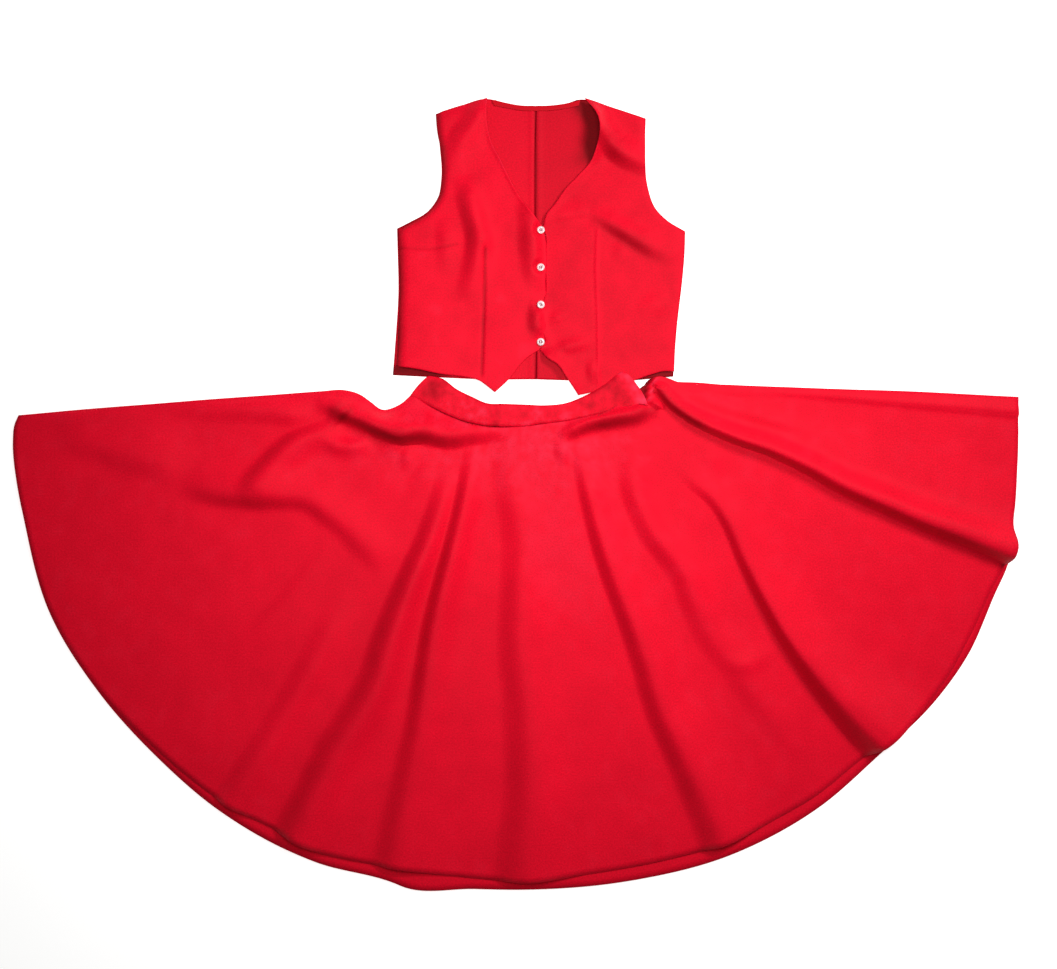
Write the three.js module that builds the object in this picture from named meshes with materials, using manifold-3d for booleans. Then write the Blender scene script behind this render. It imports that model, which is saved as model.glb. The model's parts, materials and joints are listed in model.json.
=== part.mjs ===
// Cheer uniform laid flat: a sleeveless button vest above a full-circle skirt.
// Millimetres, +X to the wearer's left, +Y from hem to neck, +Z up out of the fronts.
// The origin is under the middle of the two garments, on the surface they lie on.
import * as THREE from 'three';
import { mergeVertices } from 'three/addons/utils/BufferGeometryUtils.js';
import Module from 'manifold-3d';

const wasm = await Module();
wasm.setup();

// ---- cloth ----
const clothThickness = 1.1;
const facingThickness = 0.6;
const layerGap = 0.3;

// ---- vest, seen from the front; x from the centre front, y up from the back hem ----
const vestPlace = { x: 35.5, y: 22 };
const vestLength = 400;
const vestNeckDip = 10;
const neckPointLeft = 62;
const neckPointRight = 75;
const shoulderHalfWidth = 148;
const shoulderDrop = 24;
const chestHalfWidth = 204;
const underarmHeight = 214;
const armholeInset = 58;
const waistNarrowing = 3;
const hemHalfLeft = 189;
const hemHalfRight = 206;
const backHemRise = 8;
const frontHemRise = 17;
const neckVDepth = 171;
const neckVHollow = 16;
const notchHeight = 45;
const tipLeft = { x: 51, y: -20 };
const tipRight = { x: 65, y: -16 };
const foldLineX = 56;
const facingWidth = 38;
const neckBindingWidth = 7;
const armholeBindingWidth = 9;
const centreBackX = -7;

// ---- buttons and loops ----
const buttonCount = 4;
const buttonDiameter = 11.5;
const buttonThickness = 2.2;
const buttonSpacing = 52.8;
const topButtonBelowV = 15;
const buttonHoleRadius = 0.8;
const buttonHolePitch = 2.6;
const buttonDishDepth = 0.6;
const buttonDishRadius = 3.6;
const threadRadius = 0.5;
const shankRadius = 1.1;
const loopClearance = 0.9;
const loopWidth = 1.2;
const loopThickness = 0.8;

// ---- skirt; x from its middle, y up from the line of the side seams ----
const skirtHalfWidth = 713;
const skirtBackLength = 699;
const skirtFrontLength = 686;
const hemFullness = 2.22;
const leftCornerDrop = 25;
const sideSeamRise = 14;
const seamFromWaistEnd = 30;
const foldLineBelowSeam = 56;
const foldRampLength = 130;

// the standing folds of the front panel: direction from the waist, height and half width
const skirtFolds = [
  { degrees: 163, height: 9, halfWidth: 40 },
  { degrees: 126, height: 7, halfWidth: 34 },
  { degrees: 117, height: 14, halfWidth: 36 },
  { degrees: 105, height: 12, halfWidth: 34 },
  { degrees: 91, height: 7, halfWidth: 44 },
  { degrees: 66, height: 13, halfWidth: 36 },
  { degrees: 43, height: 18, halfWidth: 40 },
  { degrees: 16, height: 22, halfWidth: 42 },
];

// ---- waistband ----
const waistbandDepth = 31;
const waistbandThickness = 2.4;
const panelAboveBandFoot = 1.8;
const frontWaist = [[-148, -1], [-82, -34], [-2, -43], [84, -36], [130, -24], [168, -8]];
const frontBandCorner = { x: 155, y: 36 };
const backWaistDrop = 14;
const backCornerInset = 9;

// ---- side opening: zip, hook and bar ----
const zipLength = 150;
const zipFromWaist = 8;
const zipTapeWidth = 12;
const zipTapeThickness = 0.5;
const zipRowWidth = 2.4;
const zipRowThickness = 1.1;
const rowFromPanel = 0.95;
const stopLength = 3;
const sliderLength = 9;
const sliderWall = 0.7;
const sliderFromTop = 32;
const pullLength = 16;
const pullWidth = 3.4;
const pullThickness = 0.8;
const hookSize = { length: 12, width: 7, thickness: 0.7 };
const barSize = { length: 3, width: 14, thickness: 0.7 };
const hookFromEnd = 26;
const barFromEnd = 8;

// ---- curve steps ----
const curveSteps = 10;
const hemSteps = 44;
const panelRows = 6;
const buttonSides = 24;
const holeSides = 8;

// heights of the layers
const facingHeight = clothThickness + layerGap;
const vestFrontHeight = facingHeight + facingThickness + layerGap;
const vestTop = vestFrontHeight + clothThickness;
const loopHeight = vestTop + layerGap;
const buttonHeight = loopHeight + loopThickness + layerGap;
const waistbandFrontHeight = vestTop + layerGap;
const frontLiftHeight = waistbandFrontHeight + panelAboveBandFoot;
const hemLift = clothThickness + layerGap;
const zipRowHeight = clothThickness + rowFromPanel;
const upperRow = frontLiftHeight - rowFromPanel - zipRowThickness;

// the meeting line of the two fronts, just outside the buttons
const frontEdgeX = buttonDiameter / 2 + loopClearance + layerGap / 2;

const redCloth = finish(0xe0142c, 0.85, 0);
const redLining = finish(0xc81428, 0.8, 0);
const redThread = finish(0xb01024, 0.7, 0);
const pearl = finish(0xf3ebe4, 0.25, 0);
const zipCoil = finish(0xb01428, 0.45, 0);
const metal = finish(0xb9bcc0, 0.3, 1);

const uniform = new THREE.Group();
const vest = new THREE.Group();
const skirt = new THREE.Group();
vest.position.set(vestPlace.x, vestPlace.y, 0);
uniform.add(vest, skirt);

buildVest();
buildButtons();
buildSkirt();
buildSideOpening();
centreOnOrigin(uniform);

export default uniform;

function finish(color, roughness, metalness) {
  return new THREE.MeshStandardMaterial({ color, roughness, metalness });
}

function addMesh(group, name, geometry, material) {
  const mesh = new THREE.Mesh(geometry, material);
  mesh.name = name;
  group.add(mesh);
  return mesh;
}

// A flat piece: an outline of points, as thick as the cloth, with its underside at height.
function flatPiece(group, name, outline, height, thickness, material) {
  const shape = new THREE.Shape(outline);
  const geometry = new THREE.ExtrudeGeometry(shape, { depth: thickness, bevelEnabled: false });
  const mesh = addMesh(group, name, geometry, material);
  mesh.position.z = height;
  return mesh;
}

function point(x, y) {
  return new THREE.Vector2(x, y);
}

function smooth(pairs, steps = curveSteps) {
  return new THREE.SplineCurve(pairs.map(([x, y]) => point(x, y))).getPoints(steps);
}

// The same line moved sideways; positive distance is to the left of its direction.
function offsetLine(points, distance) {
  return points.map((at, i) => {
    const before = points[Math.max(i - 1, 0)];
    const after = points[Math.min(i + 1, points.length - 1)];
    const along = after.clone().sub(before).normalize();
    return point(at.x - along.y * distance, at.y + along.x * distance);
  });
}

function mirrored(points, side) {
  return points.map((at) => point(at.x * side, at.y));
}

// ---- vest ----

// The armhole from the shoulder end down to the underarm, on the +X side.
function armhole() {
  const bottom = underarmHeight;
  const top = vestLength - shoulderDrop;
  const deep = chestHalfWidth - armholeInset;
  return smooth([
    [shoulderHalfWidth, top],
    [deep - 1, bottom + (top - bottom) * 0.55],
    [deep + 6, bottom + (top - bottom) * 0.28],
    [deep + 22, bottom + (top - bottom) * 0.1],
    [chestHalfWidth, bottom],
  ]);
}

// The side seam from the underarm down to a hem corner, on the +X side.
function sideSeam(hemHalf, hemRise) {
  return smooth([
    [chestHalfWidth, underarmHeight - layerGap],
    [(chestHalfWidth + hemHalf) / 2 - waistNarrowing, (underarmHeight + hemRise) / 2],
    [hemHalf, hemRise],
  ], curveSteps / 2);
}

function vestNeckPoint(side) {
  return side > 0 ? neckPointLeft : neckPointRight;
}

function vestHemHalf(side) {
  return side > 0 ? hemHalfLeft : hemHalfRight;
}

// The back neckline from the neck point to the centre-back seam.
function backNeck(side) {
  const seamX = centreBackX * side + layerGap / 2;
  const low = vestLength - vestNeckDip;
  const reach = vestNeckPoint(side);
  return smooth([[reach, vestLength], [reach * 0.6, low + vestNeckDip * 0.25], [seamX, low]], 6);
}

function vestBack(name, side) {
  const seamX = centreBackX * side + layerGap / 2;
  const outline = [
    point(seamX, 0),
    ...sideSeam(vestHemHalf(side), backHemRise).reverse(),
    ...armhole().reverse(),
    ...backNeck(side),
  ];
  flatPiece(vest, name, mirrored(outline, side), 0, clothThickness, redCloth);
}

// The V neck from the meeting line of the fronts up to the neck point.
function frontNeck(side) {
  const low = vestLength - neckVDepth;
  const reach = vestNeckPoint(side);
  const edge = frontEdgeX * side;
  return new THREE.SplineCurve([
    point(edge, low),
    point(edge + (reach - edge) * 0.45, low + neckVDepth * 0.22),
    point(reach + (side > 0 ? neckVHollow * 0.9 : -neckVHollow * 0.4), low + neckVDepth * 0.6),
    point(reach, vestLength),
  ]);
}

// The V neck is cut where it crosses the upright line at x.
function neckHeightAt(side, x) {
  const points = frontNeck(side).getPoints(curveSteps * 4);
  const next = points.findIndex((at) => at.x >= x);
  const from = points[next - 1];
  const to = points[next];
  return from.y + ((to.y - from.y) * (x - from.x)) / (to.x - from.x);
}

function hemTip(side) {
  return side > 0 ? tipLeft : tipRight;
}

// The slanted lower edge runs from the notch to the tip.
function slantHeightAt(side, x) {
  const tip = hemTip(side);
  return notchHeight + ((tip.y - notchHeight) * x) / tip.x;
}

// The hem runs from the tip to the side seam.
function hemHeightAt(side, x) {
  const tip = hemTip(side);
  const share = (x - tip.x) / (vestHemHalf(side) - tip.x);
  return tip.y + (frontHemRise - tip.y) * Math.sin(share * Math.PI / 2);
}

// The strip of a front beside its edge, out to the upright line at limitX.
function frontEdgeStrip(side, limitX, inset) {
  const edge = side > 0 ? frontEdgeX + inset : -frontEdgeX + layerGap + inset;
  const tip = hemTip(side);
  const neck = frontNeck(side).getPoints(curveSteps * 2)
    .filter((at) => at.x > edge + 1 && at.x < limitX - 1)
    .map((at) => point(at.x, at.y - inset));
  const foot = tip.x < limitX
    ? [point(limitX, hemHeightAt(side, limitX) + inset), point(tip.x, tip.y + inset)]
    : [point(limitX, slantHeightAt(side, limitX) + inset)];
  const outline = [
    point(edge, slantHeightAt(side, Math.max(edge, 0)) + inset),
    point(edge, neckHeightAt(side, edge + 0.5) - inset),
    ...neck,
    point(limitX, neckHeightAt(side, limitX) - inset),
    ...foot,
  ];
  return mirrored(outline, side);
}

// The rest of a front, from the fold line to the side seam, with the shoulder.
function frontSide(side) {
  const limitX = foldLineX + layerGap;
  const tip = hemTip(side);
  const hemHalf = vestHemHalf(side) - 1;
  const neck = frontNeck(side).getPoints(curveSteps * 2).filter((at) => at.x > limitX + 1);
  const hem = [0.25, 0.5, 0.75].map((share) => {
    const x = hemHalf + (Math.max(tip.x, limitX) - hemHalf) * share;
    return point(x, hemHeightAt(side, x));
  });
  const foot = tip.x > limitX
    ? [point(tip.x, tip.y), point(limitX, slantHeightAt(side, limitX))]
    : [point(limitX, hemHeightAt(side, limitX))];
  const outline = [
    point(limitX, neckHeightAt(side, limitX)),
    ...neck,
    ...armhole(),
    ...sideSeam(hemHalf, frontHemRise),
    ...hem,
    ...foot,
  ];
  return mirrored(outline, side);
}

function armholeBinding(name, side) {
  const outer = offsetLine(armhole(), -layerGap);
  const inner = offsetLine(armhole(), -layerGap - armholeBindingWidth);
  const outline = mirrored([...outer, ...inner.reverse()], side);
  flatPiece(vest, name, outline, facingHeight, facingThickness, redLining);
}

function neckBinding(name) {
  const left = backNeck(1);
  const right = mirrored(backNeck(-1), -1).reverse();
  const line = [...left, ...right];
  const lower = line.map((at) => point(at.x, at.y - neckBindingWidth)).reverse();
  flatPiece(vest, name, [...line, ...lower], facingHeight, facingThickness, redLining);
}

function buildVest() {
  vestBack('vest_back_left', 1);
  vestBack('vest_back_right', -1);
  neckBinding('back_neck_binding');
  armholeBinding('armhole_binding_left', 1);
  armholeBinding('armhole_binding_right', -1);
  for (const [word, side] of [['left', 1], ['right', -1]]) {
    const edge = frontEdgeStrip(side, foldLineX, 0);
    const facing = frontEdgeStrip(side, facingWidth, layerGap);
    flatPiece(vest, `vest_front_${word}`, frontSide(side), vestFrontHeight, clothThickness, redCloth);
    flatPiece(vest, `vest_front_${word}_edge`, edge, vestFrontHeight, clothThickness, redCloth);
    flatPiece(vest, `front_facing_${word}`, facing, facingHeight, facingThickness, redLining);
  }
}

// ---- buttons ----

function toSolid(geometry) {
  const bare = geometry.clone();
  bare.deleteAttribute('normal');
  bare.deleteAttribute('uv');
  const merged = mergeVertices(bare, 1e-4);
  return new wasm.Manifold(new wasm.Mesh({
    numProp: 3,
    vertProperties: new Float32Array(merged.attributes.position.array),
    triVerts: new Uint32Array(merged.index.array),
  }));
}

function toGeometry(solid) {
  const mesh = solid.getMesh();
  const geometry = new THREE.BufferGeometry();
  geometry.setAttribute('position', new THREE.BufferAttribute(mesh.vertProperties, 3));
  geometry.setIndex(new THREE.BufferAttribute(mesh.triVerts, 1));
  geometry.computeVertexNormals();
  return geometry;
}

// An upright cylinder from one height to another.
function post(radius, low, high, x, y, sides) {
  const geometry = new THREE.CylinderGeometry(radius, radius, high - low, sides);
  geometry.rotateX(Math.PI / 2);
  geometry.translate(x, y, (low + high) / 2);
  return toSolid(geometry);
}

function buttonHolePlaces() {
  const reach = buttonHolePitch / 2;
  return [[-reach, -reach], [reach, -reach], [reach, reach], [-reach, reach]];
}

// A dished round button with four holes, its underside at zero.
function buttonSolid() {
  const radius = buttonDiameter / 2;
  const dishFloor = buttonThickness - buttonDishDepth;
  const profile = [
    point(0, 0),
    point(radius * 0.75, 0),
    point(radius, buttonThickness * 0.45),
    point(radius * 0.96, buttonThickness * 0.8),
    point(radius * 0.82, buttonThickness),
    point(buttonDishRadius, buttonThickness),
    point(buttonDishRadius - buttonDishDepth, dishFloor),
    point(0, dishFloor),
  ];
  const geometry = new THREE.LatheGeometry(profile, buttonSides);
  geometry.rotateX(Math.PI / 2);
  let solid = toSolid(geometry);
  for (const [x, y] of buttonHolePlaces()) {
    solid = solid.subtract(post(buttonHoleRadius, -1, buttonThickness + 1, x, y, holeSides));
  }
  return solid;
}

// The sewing thread: a wrapped shank, four strands up through the holes, two stitches on top.
function threadSolid() {
  const dishFloor = buttonThickness - buttonDishDepth;
  const stitchLow = dishFloor + 0.1;
  const shankTop = -0.15;
  let solid = post(shankRadius * 2, vestTop + layerGap - buttonHeight, shankTop, 0, 0, holeSides);
  for (const [x, y] of buttonHolePlaces()) {
    const strand = post(threadRadius, shankTop - 0.2, stitchLow + 0.2, x * 0.98, y * 0.98, holeSides);
    solid = solid.add(strand);
  }
  const reach = buttonHolePitch / 2;
  for (const side of [-1, 1]) {
    const stitch = new THREE.BoxGeometry(buttonHolePitch, threadRadius * 1.6, threadRadius);
    stitch.translate(0, reach * side * 0.98, stitchLow + threadRadius / 2);
    solid = solid.add(toSolid(stitch));
  }
  return solid;
}

// A flat cord from the left front's edge round the button's shank and back.
function loopOutline() {
  const inner = buttonDiameter / 2 + loopClearance;
  const outer = inner + loopWidth;
  const root = frontEdgeX + layerGap + loopWidth;
  const turn = (radius) => {
    const arc = new THREE.EllipseCurve(0, 0, radius, radius, Math.PI / 2, (Math.PI * 3) / 2);
    return arc.getPoints(curveSteps);
  };
  return [point(root, outer), ...turn(outer), point(root, -outer), point(root, -inner),
    ...turn(inner).reverse(), point(root, inner)];
}

function buildButtons() {
  const topY = vestLength - neckVDepth - topButtonBelowV;
  const button = toGeometry(buttonSolid());
  const thread = toGeometry(threadSolid());
  for (let i = 0; i < buttonCount; i++) {
    const y = topY - i * buttonSpacing;
    const number = i + 1;
    addMesh(vest, `button_${number}`, button, pearl).position.set(0, y, buttonHeight);
    addMesh(vest, `button_thread_${number}`, thread, redThread).position.set(0, y, buttonHeight);
    const name = `button_loop_${number}`;
    const loop = flatPiece(vest, name, loopOutline(), loopHeight, loopThickness, redThread);
    loop.position.y = y;
  }
}

// ---- skirt ----

// The hem of a half-circle panel at an angle from +X round to -X, a slightly squared circle.
function hemPoint(radians, length) {
  const power = 2 / hemFullness;
  const across = Math.cos(radians);
  const down = Math.sin(radians);
  const x = Math.sign(across) * skirtHalfWidth * Math.abs(across) ** power;
  return point(x, -length * Math.abs(down) ** power);
}

// Distance from the middle of the waist to the hem in a direction.
function hemReach(radians, length) {
  const across = Math.abs(Math.cos(radians)) / skirtHalfWidth;
  const down = Math.abs(Math.sin(radians)) / length;
  return (across ** hemFullness + down ** hemFullness) ** (-1 / hemFullness);
}

function waistLine(drop) {
  return smooth(frontWaist, curveSteps * 2).map((at) => point(at.x, at.y - drop));
}

function waistEnd(drop) {
  return waistLine(drop).at(-1);
}

function seamInnerEnd() {
  return point(waistEnd(0).x + seamFromWaistEnd, sideSeamRise);
}

// The upper edge of a panel: left seam, waist and right seam, from -X to +X.
function panelTop(drop) {
  const waist = offsetLine(waistLine(drop), -layerGap);
  return [
    point(-skirtHalfWidth + 6, -leftCornerDrop),
    point(waist[0].x - 70, 0),
    ...waist,
    seamInnerEnd(),
    point(skirtHalfWidth - 2, 0),
  ];
}

function skirtBack() {
  const first = 0.01;
  const last = Math.PI - 0.045;
  const hem = [];
  for (let i = 0; i <= hemSteps; i++) {
    hem.push(hemPoint(first + ((last - first) * i) / hemSteps, skirtBackLength));
  }
  flatPiece(skirt, 'skirt_back', [...panelTop(backWaistDrop), ...hem], 0, clothThickness, redCloth);
}

// The front above its fold line.
function skirtFrontTop() {
  const level = -foldLineBelowSeam + layerGap;
  const reach = skirtHalfWidth * (1 - (-level / skirtFrontLength) ** hemFullness) ** (1 / hemFullness);
  const outline = [...panelTop(0), point(reach, level), point(-reach, level)];
  flatPiece(skirt, 'skirt_front_top', outline, frontLiftHeight, clothThickness, redCloth);
}

// The front below its fold line: a sheet that falls to the hem with its folds standing.
function skirtFront() {
  const firstAngle = THREE.MathUtils.degToRad(4.9);
  const columns = hemSteps;
  const angleAt = (i) => firstAngle + ((Math.PI - 2 * firstAngle) * i) / columns;
  const positions = [];
  for (const above of [clothThickness, 0]) {
    for (let i = 0; i <= columns; i++) {
      const angle = angleAt(i);
      const start = foldLineBelowSeam / Math.sin(angle);
      const end = hemReach(angle, skirtFrontLength);
      for (let j = 0; j <= panelRows; j++) {
        const distance = start + ((end - start) * j) / panelRows;
        const x = distance * Math.cos(angle);
        const y = -distance * Math.sin(angle);
        const ramp = Math.min(1, (-y - foldLineBelowSeam) / foldRampLength);
        const share = j / panelRows;
        const base = frontLiftHeight + (hemLift - frontLiftHeight) * share;
        positions.push(x, y, base + foldHeight(angle, distance) * ramp + above);
      }
    }
  }
  addMesh(skirt, 'skirt_front', sheetGeometry(positions, columns, panelRows), redCloth);
}

function foldHeight(angle, distance) {
  return skirtFolds.reduce((sum, fold) => {
    const aside = (angle - THREE.MathUtils.degToRad(fold.degrees)) * distance;
    return sum + fold.height * Math.exp(-((aside / fold.halfWidth) ** 2));
  }, 0);
}

// A closed sheet from two grids of points, the upper one first.
function sheetGeometry(positions, columns, rows) {
  const stride = rows + 1;
  const layer = (columns + 1) * stride;
  const faces = [];
  const quad = (a, b, c, d) => faces.push(a, b, c, a, c, d);
  for (let i = 0; i < columns; i++) {
    for (let j = 0; j < rows; j++) {
      const a = i * stride + j;
      quad(a, a + stride, a + stride + 1, a + 1);
      quad(layer + a, layer + a + 1, layer + a + stride + 1, layer + a + stride);
    }
    const near = i * stride;
    const far = near + rows;
    quad(near + stride, near, layer + near, layer + near + stride);
    quad(far, far + stride, layer + far + stride, layer + far);
  }
  const lastColumn = columns * stride;
  for (let j = 0; j < rows; j++) {
    quad(j, j + 1, layer + j + 1, layer + j);
    const b = lastColumn + j;
    quad(b + 1, b, layer + b, layer + b + 1);
  }
  const geometry = new THREE.BufferGeometry();
  geometry.setAttribute('position', new THREE.Float32BufferAttribute(positions, 3));
  geometry.setIndex(faces.flat());
  geometry.computeVertexNormals();
  return geometry;
}

// A band as deep as waistbandDepth above the waist seam, with its left end cut to a corner.
function waistband(name, drop, height, corner) {
  const seam = waistLine(drop);
  const top = offsetLine(seam, waistbandDepth).reverse().slice(1);
  const outline = [...seam, point(corner.x, corner.y), ...top];
  flatPiece(skirt, name, outline, height, waistbandThickness, redCloth);
}

function buildSkirt() {
  skirtBack();
  skirtFrontTop();
  skirtFront();
  const backCorner = { x: waistEnd(0).x - backCornerInset, y: waistEnd(backWaistDrop).y + waistbandDepth };
  waistband('waistband_back', backWaistDrop, 0, backCorner);
  waistband('waistband_front', 0, waistbandFrontHeight, frontBandCorner);
}

// ---- side opening ----

function addBox(group, name, size, at, material) {
  const geometry = new THREE.BoxGeometry(size[0], size[1], size[2]);
  geometry.translate(at[0] + size[0] / 2, at[1] + size[1] / 2, at[2] + size[2] / 2);
  return addMesh(group, name, geometry, material);
}

// The zip lies along the left side seam: its tapes inside, its rows at the edge of the panels.
function buildZip() {
  const inner = seamInnerEnd();
  const zip = new THREE.Group();
  zip.position.set(inner.x, inner.y, 0);
  zip.rotation.z = Math.atan2(-inner.y, skirtHalfWidth - 2 - inner.x);
  skirt.add(zip);
  const start = zipFromWaist;
  const edge = layerGap;
  const tape = [zipLength, zipTapeWidth, zipTapeThickness];
  const row = [zipLength, zipRowWidth, zipRowThickness];
  const tapeLow = clothThickness + layerGap;
  const tapeHigh = frontLiftHeight - layerGap - zipTapeThickness;
  addBox(zip, 'zip_tape_back', tape, [start, -zipTapeWidth, tapeLow], redLining);
  addBox(zip, 'zip_tape_front', tape, [start, -zipTapeWidth, tapeHigh], redLining);
  addBox(zip, 'zip_teeth_back', row, [start, edge, zipRowHeight], zipCoil);
  addBox(zip, 'zip_teeth_front', row, [start, edge, upperRow], zipCoil);
  const stop = [stopLength, zipRowWidth, zipRowThickness];
  const before = start - stopLength - layerGap;
  addBox(zip, 'zip_top_stop_back', stop, [before, edge, zipRowHeight], metal);
  addBox(zip, 'zip_top_stop_front', stop, [before, edge, upperRow], metal);
  const both = upperRow + zipRowThickness - zipRowHeight;
  const bottom = [start + zipLength + layerGap, edge, zipRowHeight];
  addBox(zip, 'zip_bottom_stop', [stopLength, zipRowWidth, both], bottom, metal);

  // the slider wraps the rows from the outside and slides along them
  const low = zipRowHeight - layerGap - sliderWall;
  const high = upperRow + zipRowThickness + layerGap + sliderWall;
  const depth = edge + zipRowWidth + layerGap + sliderWall;
  const section = [
    point(edge, low), point(depth, low), point(depth, high), point(edge, high),
    point(edge, high - sliderWall), point(depth - sliderWall, high - sliderWall),
    point(depth - sliderWall, low + sliderWall), point(edge, low + sliderWall),
  ];
  const shape = new THREE.Shape(section);
  const slider = new THREE.ExtrudeGeometry(shape, { depth: sliderLength, bevelEnabled: false });
  slider.applyMatrix4(new THREE.Matrix4().set(0, 0, 1, 0, 1, 0, 0, 0, 0, 1, 0, 0, 0, 0, 0, 1));
  addMesh(zip, 'zip_slider', slider, metal).position.x = start + sliderFromTop;

  // the pull hangs on the slider and swings about an upright pin
  const pull = [pullLength, pullThickness, pullWidth];
  const pullStart = start + sliderFromTop + sliderLength / 2;
  const pullLow = (low + high - pullWidth) / 2;
  addBox(zip, 'zip_pull', pull, [pullStart, depth + layerGap, pullLow], metal);
}

function buildSideOpening() {
  buildZip();
  const height = waistbandThickness + layerGap;
  const end = waistEnd(backWaistDrop);
  const middle = end.y + waistbandDepth * 0.45;
  const hook = [hookSize.length, hookSize.width, hookSize.thickness];
  const bar = [barSize.length, barSize.width, barSize.thickness];
  addBox(skirt, 'waist_hook', hook, [end.x - hookFromEnd, middle, height], metal);
  addBox(skirt, 'waist_bar', bar, [end.x - barFromEnd, middle - 4, height], metal);
}

function centreOnOrigin(group) {
  group.updateMatrixWorld(true);
  const centre = new THREE.Box3().setFromObject(group).getCenter(new THREE.Vector3());
  group.position.x -= centre.x;
  group.position.y -= centre.y;
}
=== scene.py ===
# Red vest and full-circle skirt, laid out flat one above the other.
import json
import math
import bmesh
import bpy
import numpy as np
from mathutils import Matrix, Vector, noise

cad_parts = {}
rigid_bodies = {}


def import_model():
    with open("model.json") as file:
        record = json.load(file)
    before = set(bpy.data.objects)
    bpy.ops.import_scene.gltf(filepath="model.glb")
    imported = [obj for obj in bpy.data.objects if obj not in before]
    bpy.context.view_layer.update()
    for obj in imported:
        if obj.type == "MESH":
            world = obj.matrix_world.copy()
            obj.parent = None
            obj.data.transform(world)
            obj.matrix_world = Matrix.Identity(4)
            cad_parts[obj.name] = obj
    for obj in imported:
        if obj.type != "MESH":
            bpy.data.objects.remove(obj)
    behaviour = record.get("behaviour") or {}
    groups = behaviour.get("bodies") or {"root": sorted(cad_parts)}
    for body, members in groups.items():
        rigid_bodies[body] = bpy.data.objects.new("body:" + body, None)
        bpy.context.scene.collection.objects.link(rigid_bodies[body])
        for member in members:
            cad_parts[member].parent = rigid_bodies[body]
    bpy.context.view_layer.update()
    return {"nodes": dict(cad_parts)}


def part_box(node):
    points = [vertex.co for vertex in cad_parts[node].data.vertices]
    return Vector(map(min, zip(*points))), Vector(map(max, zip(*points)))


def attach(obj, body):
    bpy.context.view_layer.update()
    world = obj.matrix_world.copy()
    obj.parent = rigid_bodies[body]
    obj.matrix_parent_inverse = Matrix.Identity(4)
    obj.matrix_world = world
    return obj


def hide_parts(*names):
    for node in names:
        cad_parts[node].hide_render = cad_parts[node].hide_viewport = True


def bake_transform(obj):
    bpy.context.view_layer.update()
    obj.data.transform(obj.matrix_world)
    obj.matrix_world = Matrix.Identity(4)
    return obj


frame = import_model()
millimetre = 0.001

# Both garments are drawn in millimetres from their own centres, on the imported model's places.
buttonLow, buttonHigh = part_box("button_1")
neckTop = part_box("back_neck_binding")[1]
skirtLow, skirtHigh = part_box("skirt_back")
vestCentre = np.array([(buttonLow.x + buttonHigh.x) / 2, neckTop.y]) / millimetre - [0, 400]
skirtCentre = np.array([(skirtLow.x + skirtHigh.x) / 2, skirtHigh.y]) / millimetre - [0, 14]


def distances(line):
    # how far along the line each of its points lies
    return np.concatenate([[0], np.cumsum(np.linalg.norm(np.diff(line, axis=0), axis=1))])


def pointsAt(line, length, places):
    # points on the line at these distances along it
    return np.column_stack([np.interp(places, length, line[:, i]) for i in range(line.shape[1])])


def smoothLine(points, steps):
    # evenly spaced points along a smooth line through the given ones
    points = np.array(points, float)
    at = distances(points)
    slope = np.gradient(points, at, axis=0)
    fine = np.linspace(0, at[-1], 24 * (len(points) - 1) + 1)
    k = np.clip(np.searchsorted(at, fine, side="right") - 1, 0, len(points) - 2)
    span = (at[k + 1] - at[k])[:, None]
    s = (fine - at[k])[:, None] / span
    line = ((1 + 2 * s) * (1 - s) ** 2 * points[k] + s * (1 - s) ** 2 * span * slope[k]
            + s * s * (3 - 2 * s) * points[k + 1] + s * s * (s - 1) * span * slope[k + 1])
    length = distances(line)
    return pointsAt(line, length, np.linspace(0, length[-1], steps + 1))


def joined(*runs):
    # smooth runs end to end, with a corner between each two
    lines = [smoothLine(points, steps) for points, steps in runs]
    return np.vstack([lines[0]] + [line[1:] for line in lines[1:]])


def spaced(line, shares):
    # points on the line at these shares of its length
    length = distances(line)
    return pointsAt(line, length, np.array(shares) * length[-1])


def gridBetween(near, far, first, last, across=None, along=None):
    # a grid of points filling the space between four joined edges
    u = np.linspace(0, 1, len(near)) if across is None else across
    v = np.linspace(0, 1, len(first)) if along is None else along
    u, v = u[None, :, None], v[:, None, None]
    ruled = (1 - v) * near[None] + v * far[None]
    sides = (1 - u) * first[:, None] + u * last[:, None]
    corners = ((1 - u) * (1 - v) * near[0] + u * (1 - v) * near[-1]
               + (1 - u) * v * far[0] + u * v * far[-1])
    return ruled + sides - corners


def patch(near, far, first, last, columns, rows):
    # a four-sided piece of cloth between smooth lines
    return gridBetween(smoothLine(near, columns), smoothLine(far, columns),
                       smoothLine(first, rows), smoothLine(last, rows))


def besideLine(grid, line, reach):
    # for each grid point, how far left of the line it lies (right is minus), and how far along it
    points = grid.reshape(-1, 2)
    low, high = line.min(0) - reach, line.max(0) + reach
    near = np.flatnonzero(((points > low) & (points < high)).all(1))
    aside, along = np.full(len(points), 1e6), np.zeros(len(points))
    p = points[near]
    best, side, share = np.full(len(p), 1e6), np.ones(len(p)), np.zeros(len(p))
    for i, (a, b) in enumerate(zip(line[:-1], line[1:])):
        step = b - a
        s = np.clip((p - a) @ step / (step @ step), 0, 1)
        away = p - a - s[:, None] * step
        distance = np.hypot(away[:, 0], away[:, 1])
        closer = distance < best
        best[closer] = distance[closer]
        turn = step[0] * away[:, 1] - step[1] * away[:, 0]
        side[closer] = np.where(turn[closer] < 0, -1, 1)
        share[closer] = (i + s[closer]) / (len(line) - 1)
    aside[near], along[near] = best * side, share
    return aside.reshape(grid.shape[:2]), along.reshape(grid.shape[:2])


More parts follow.
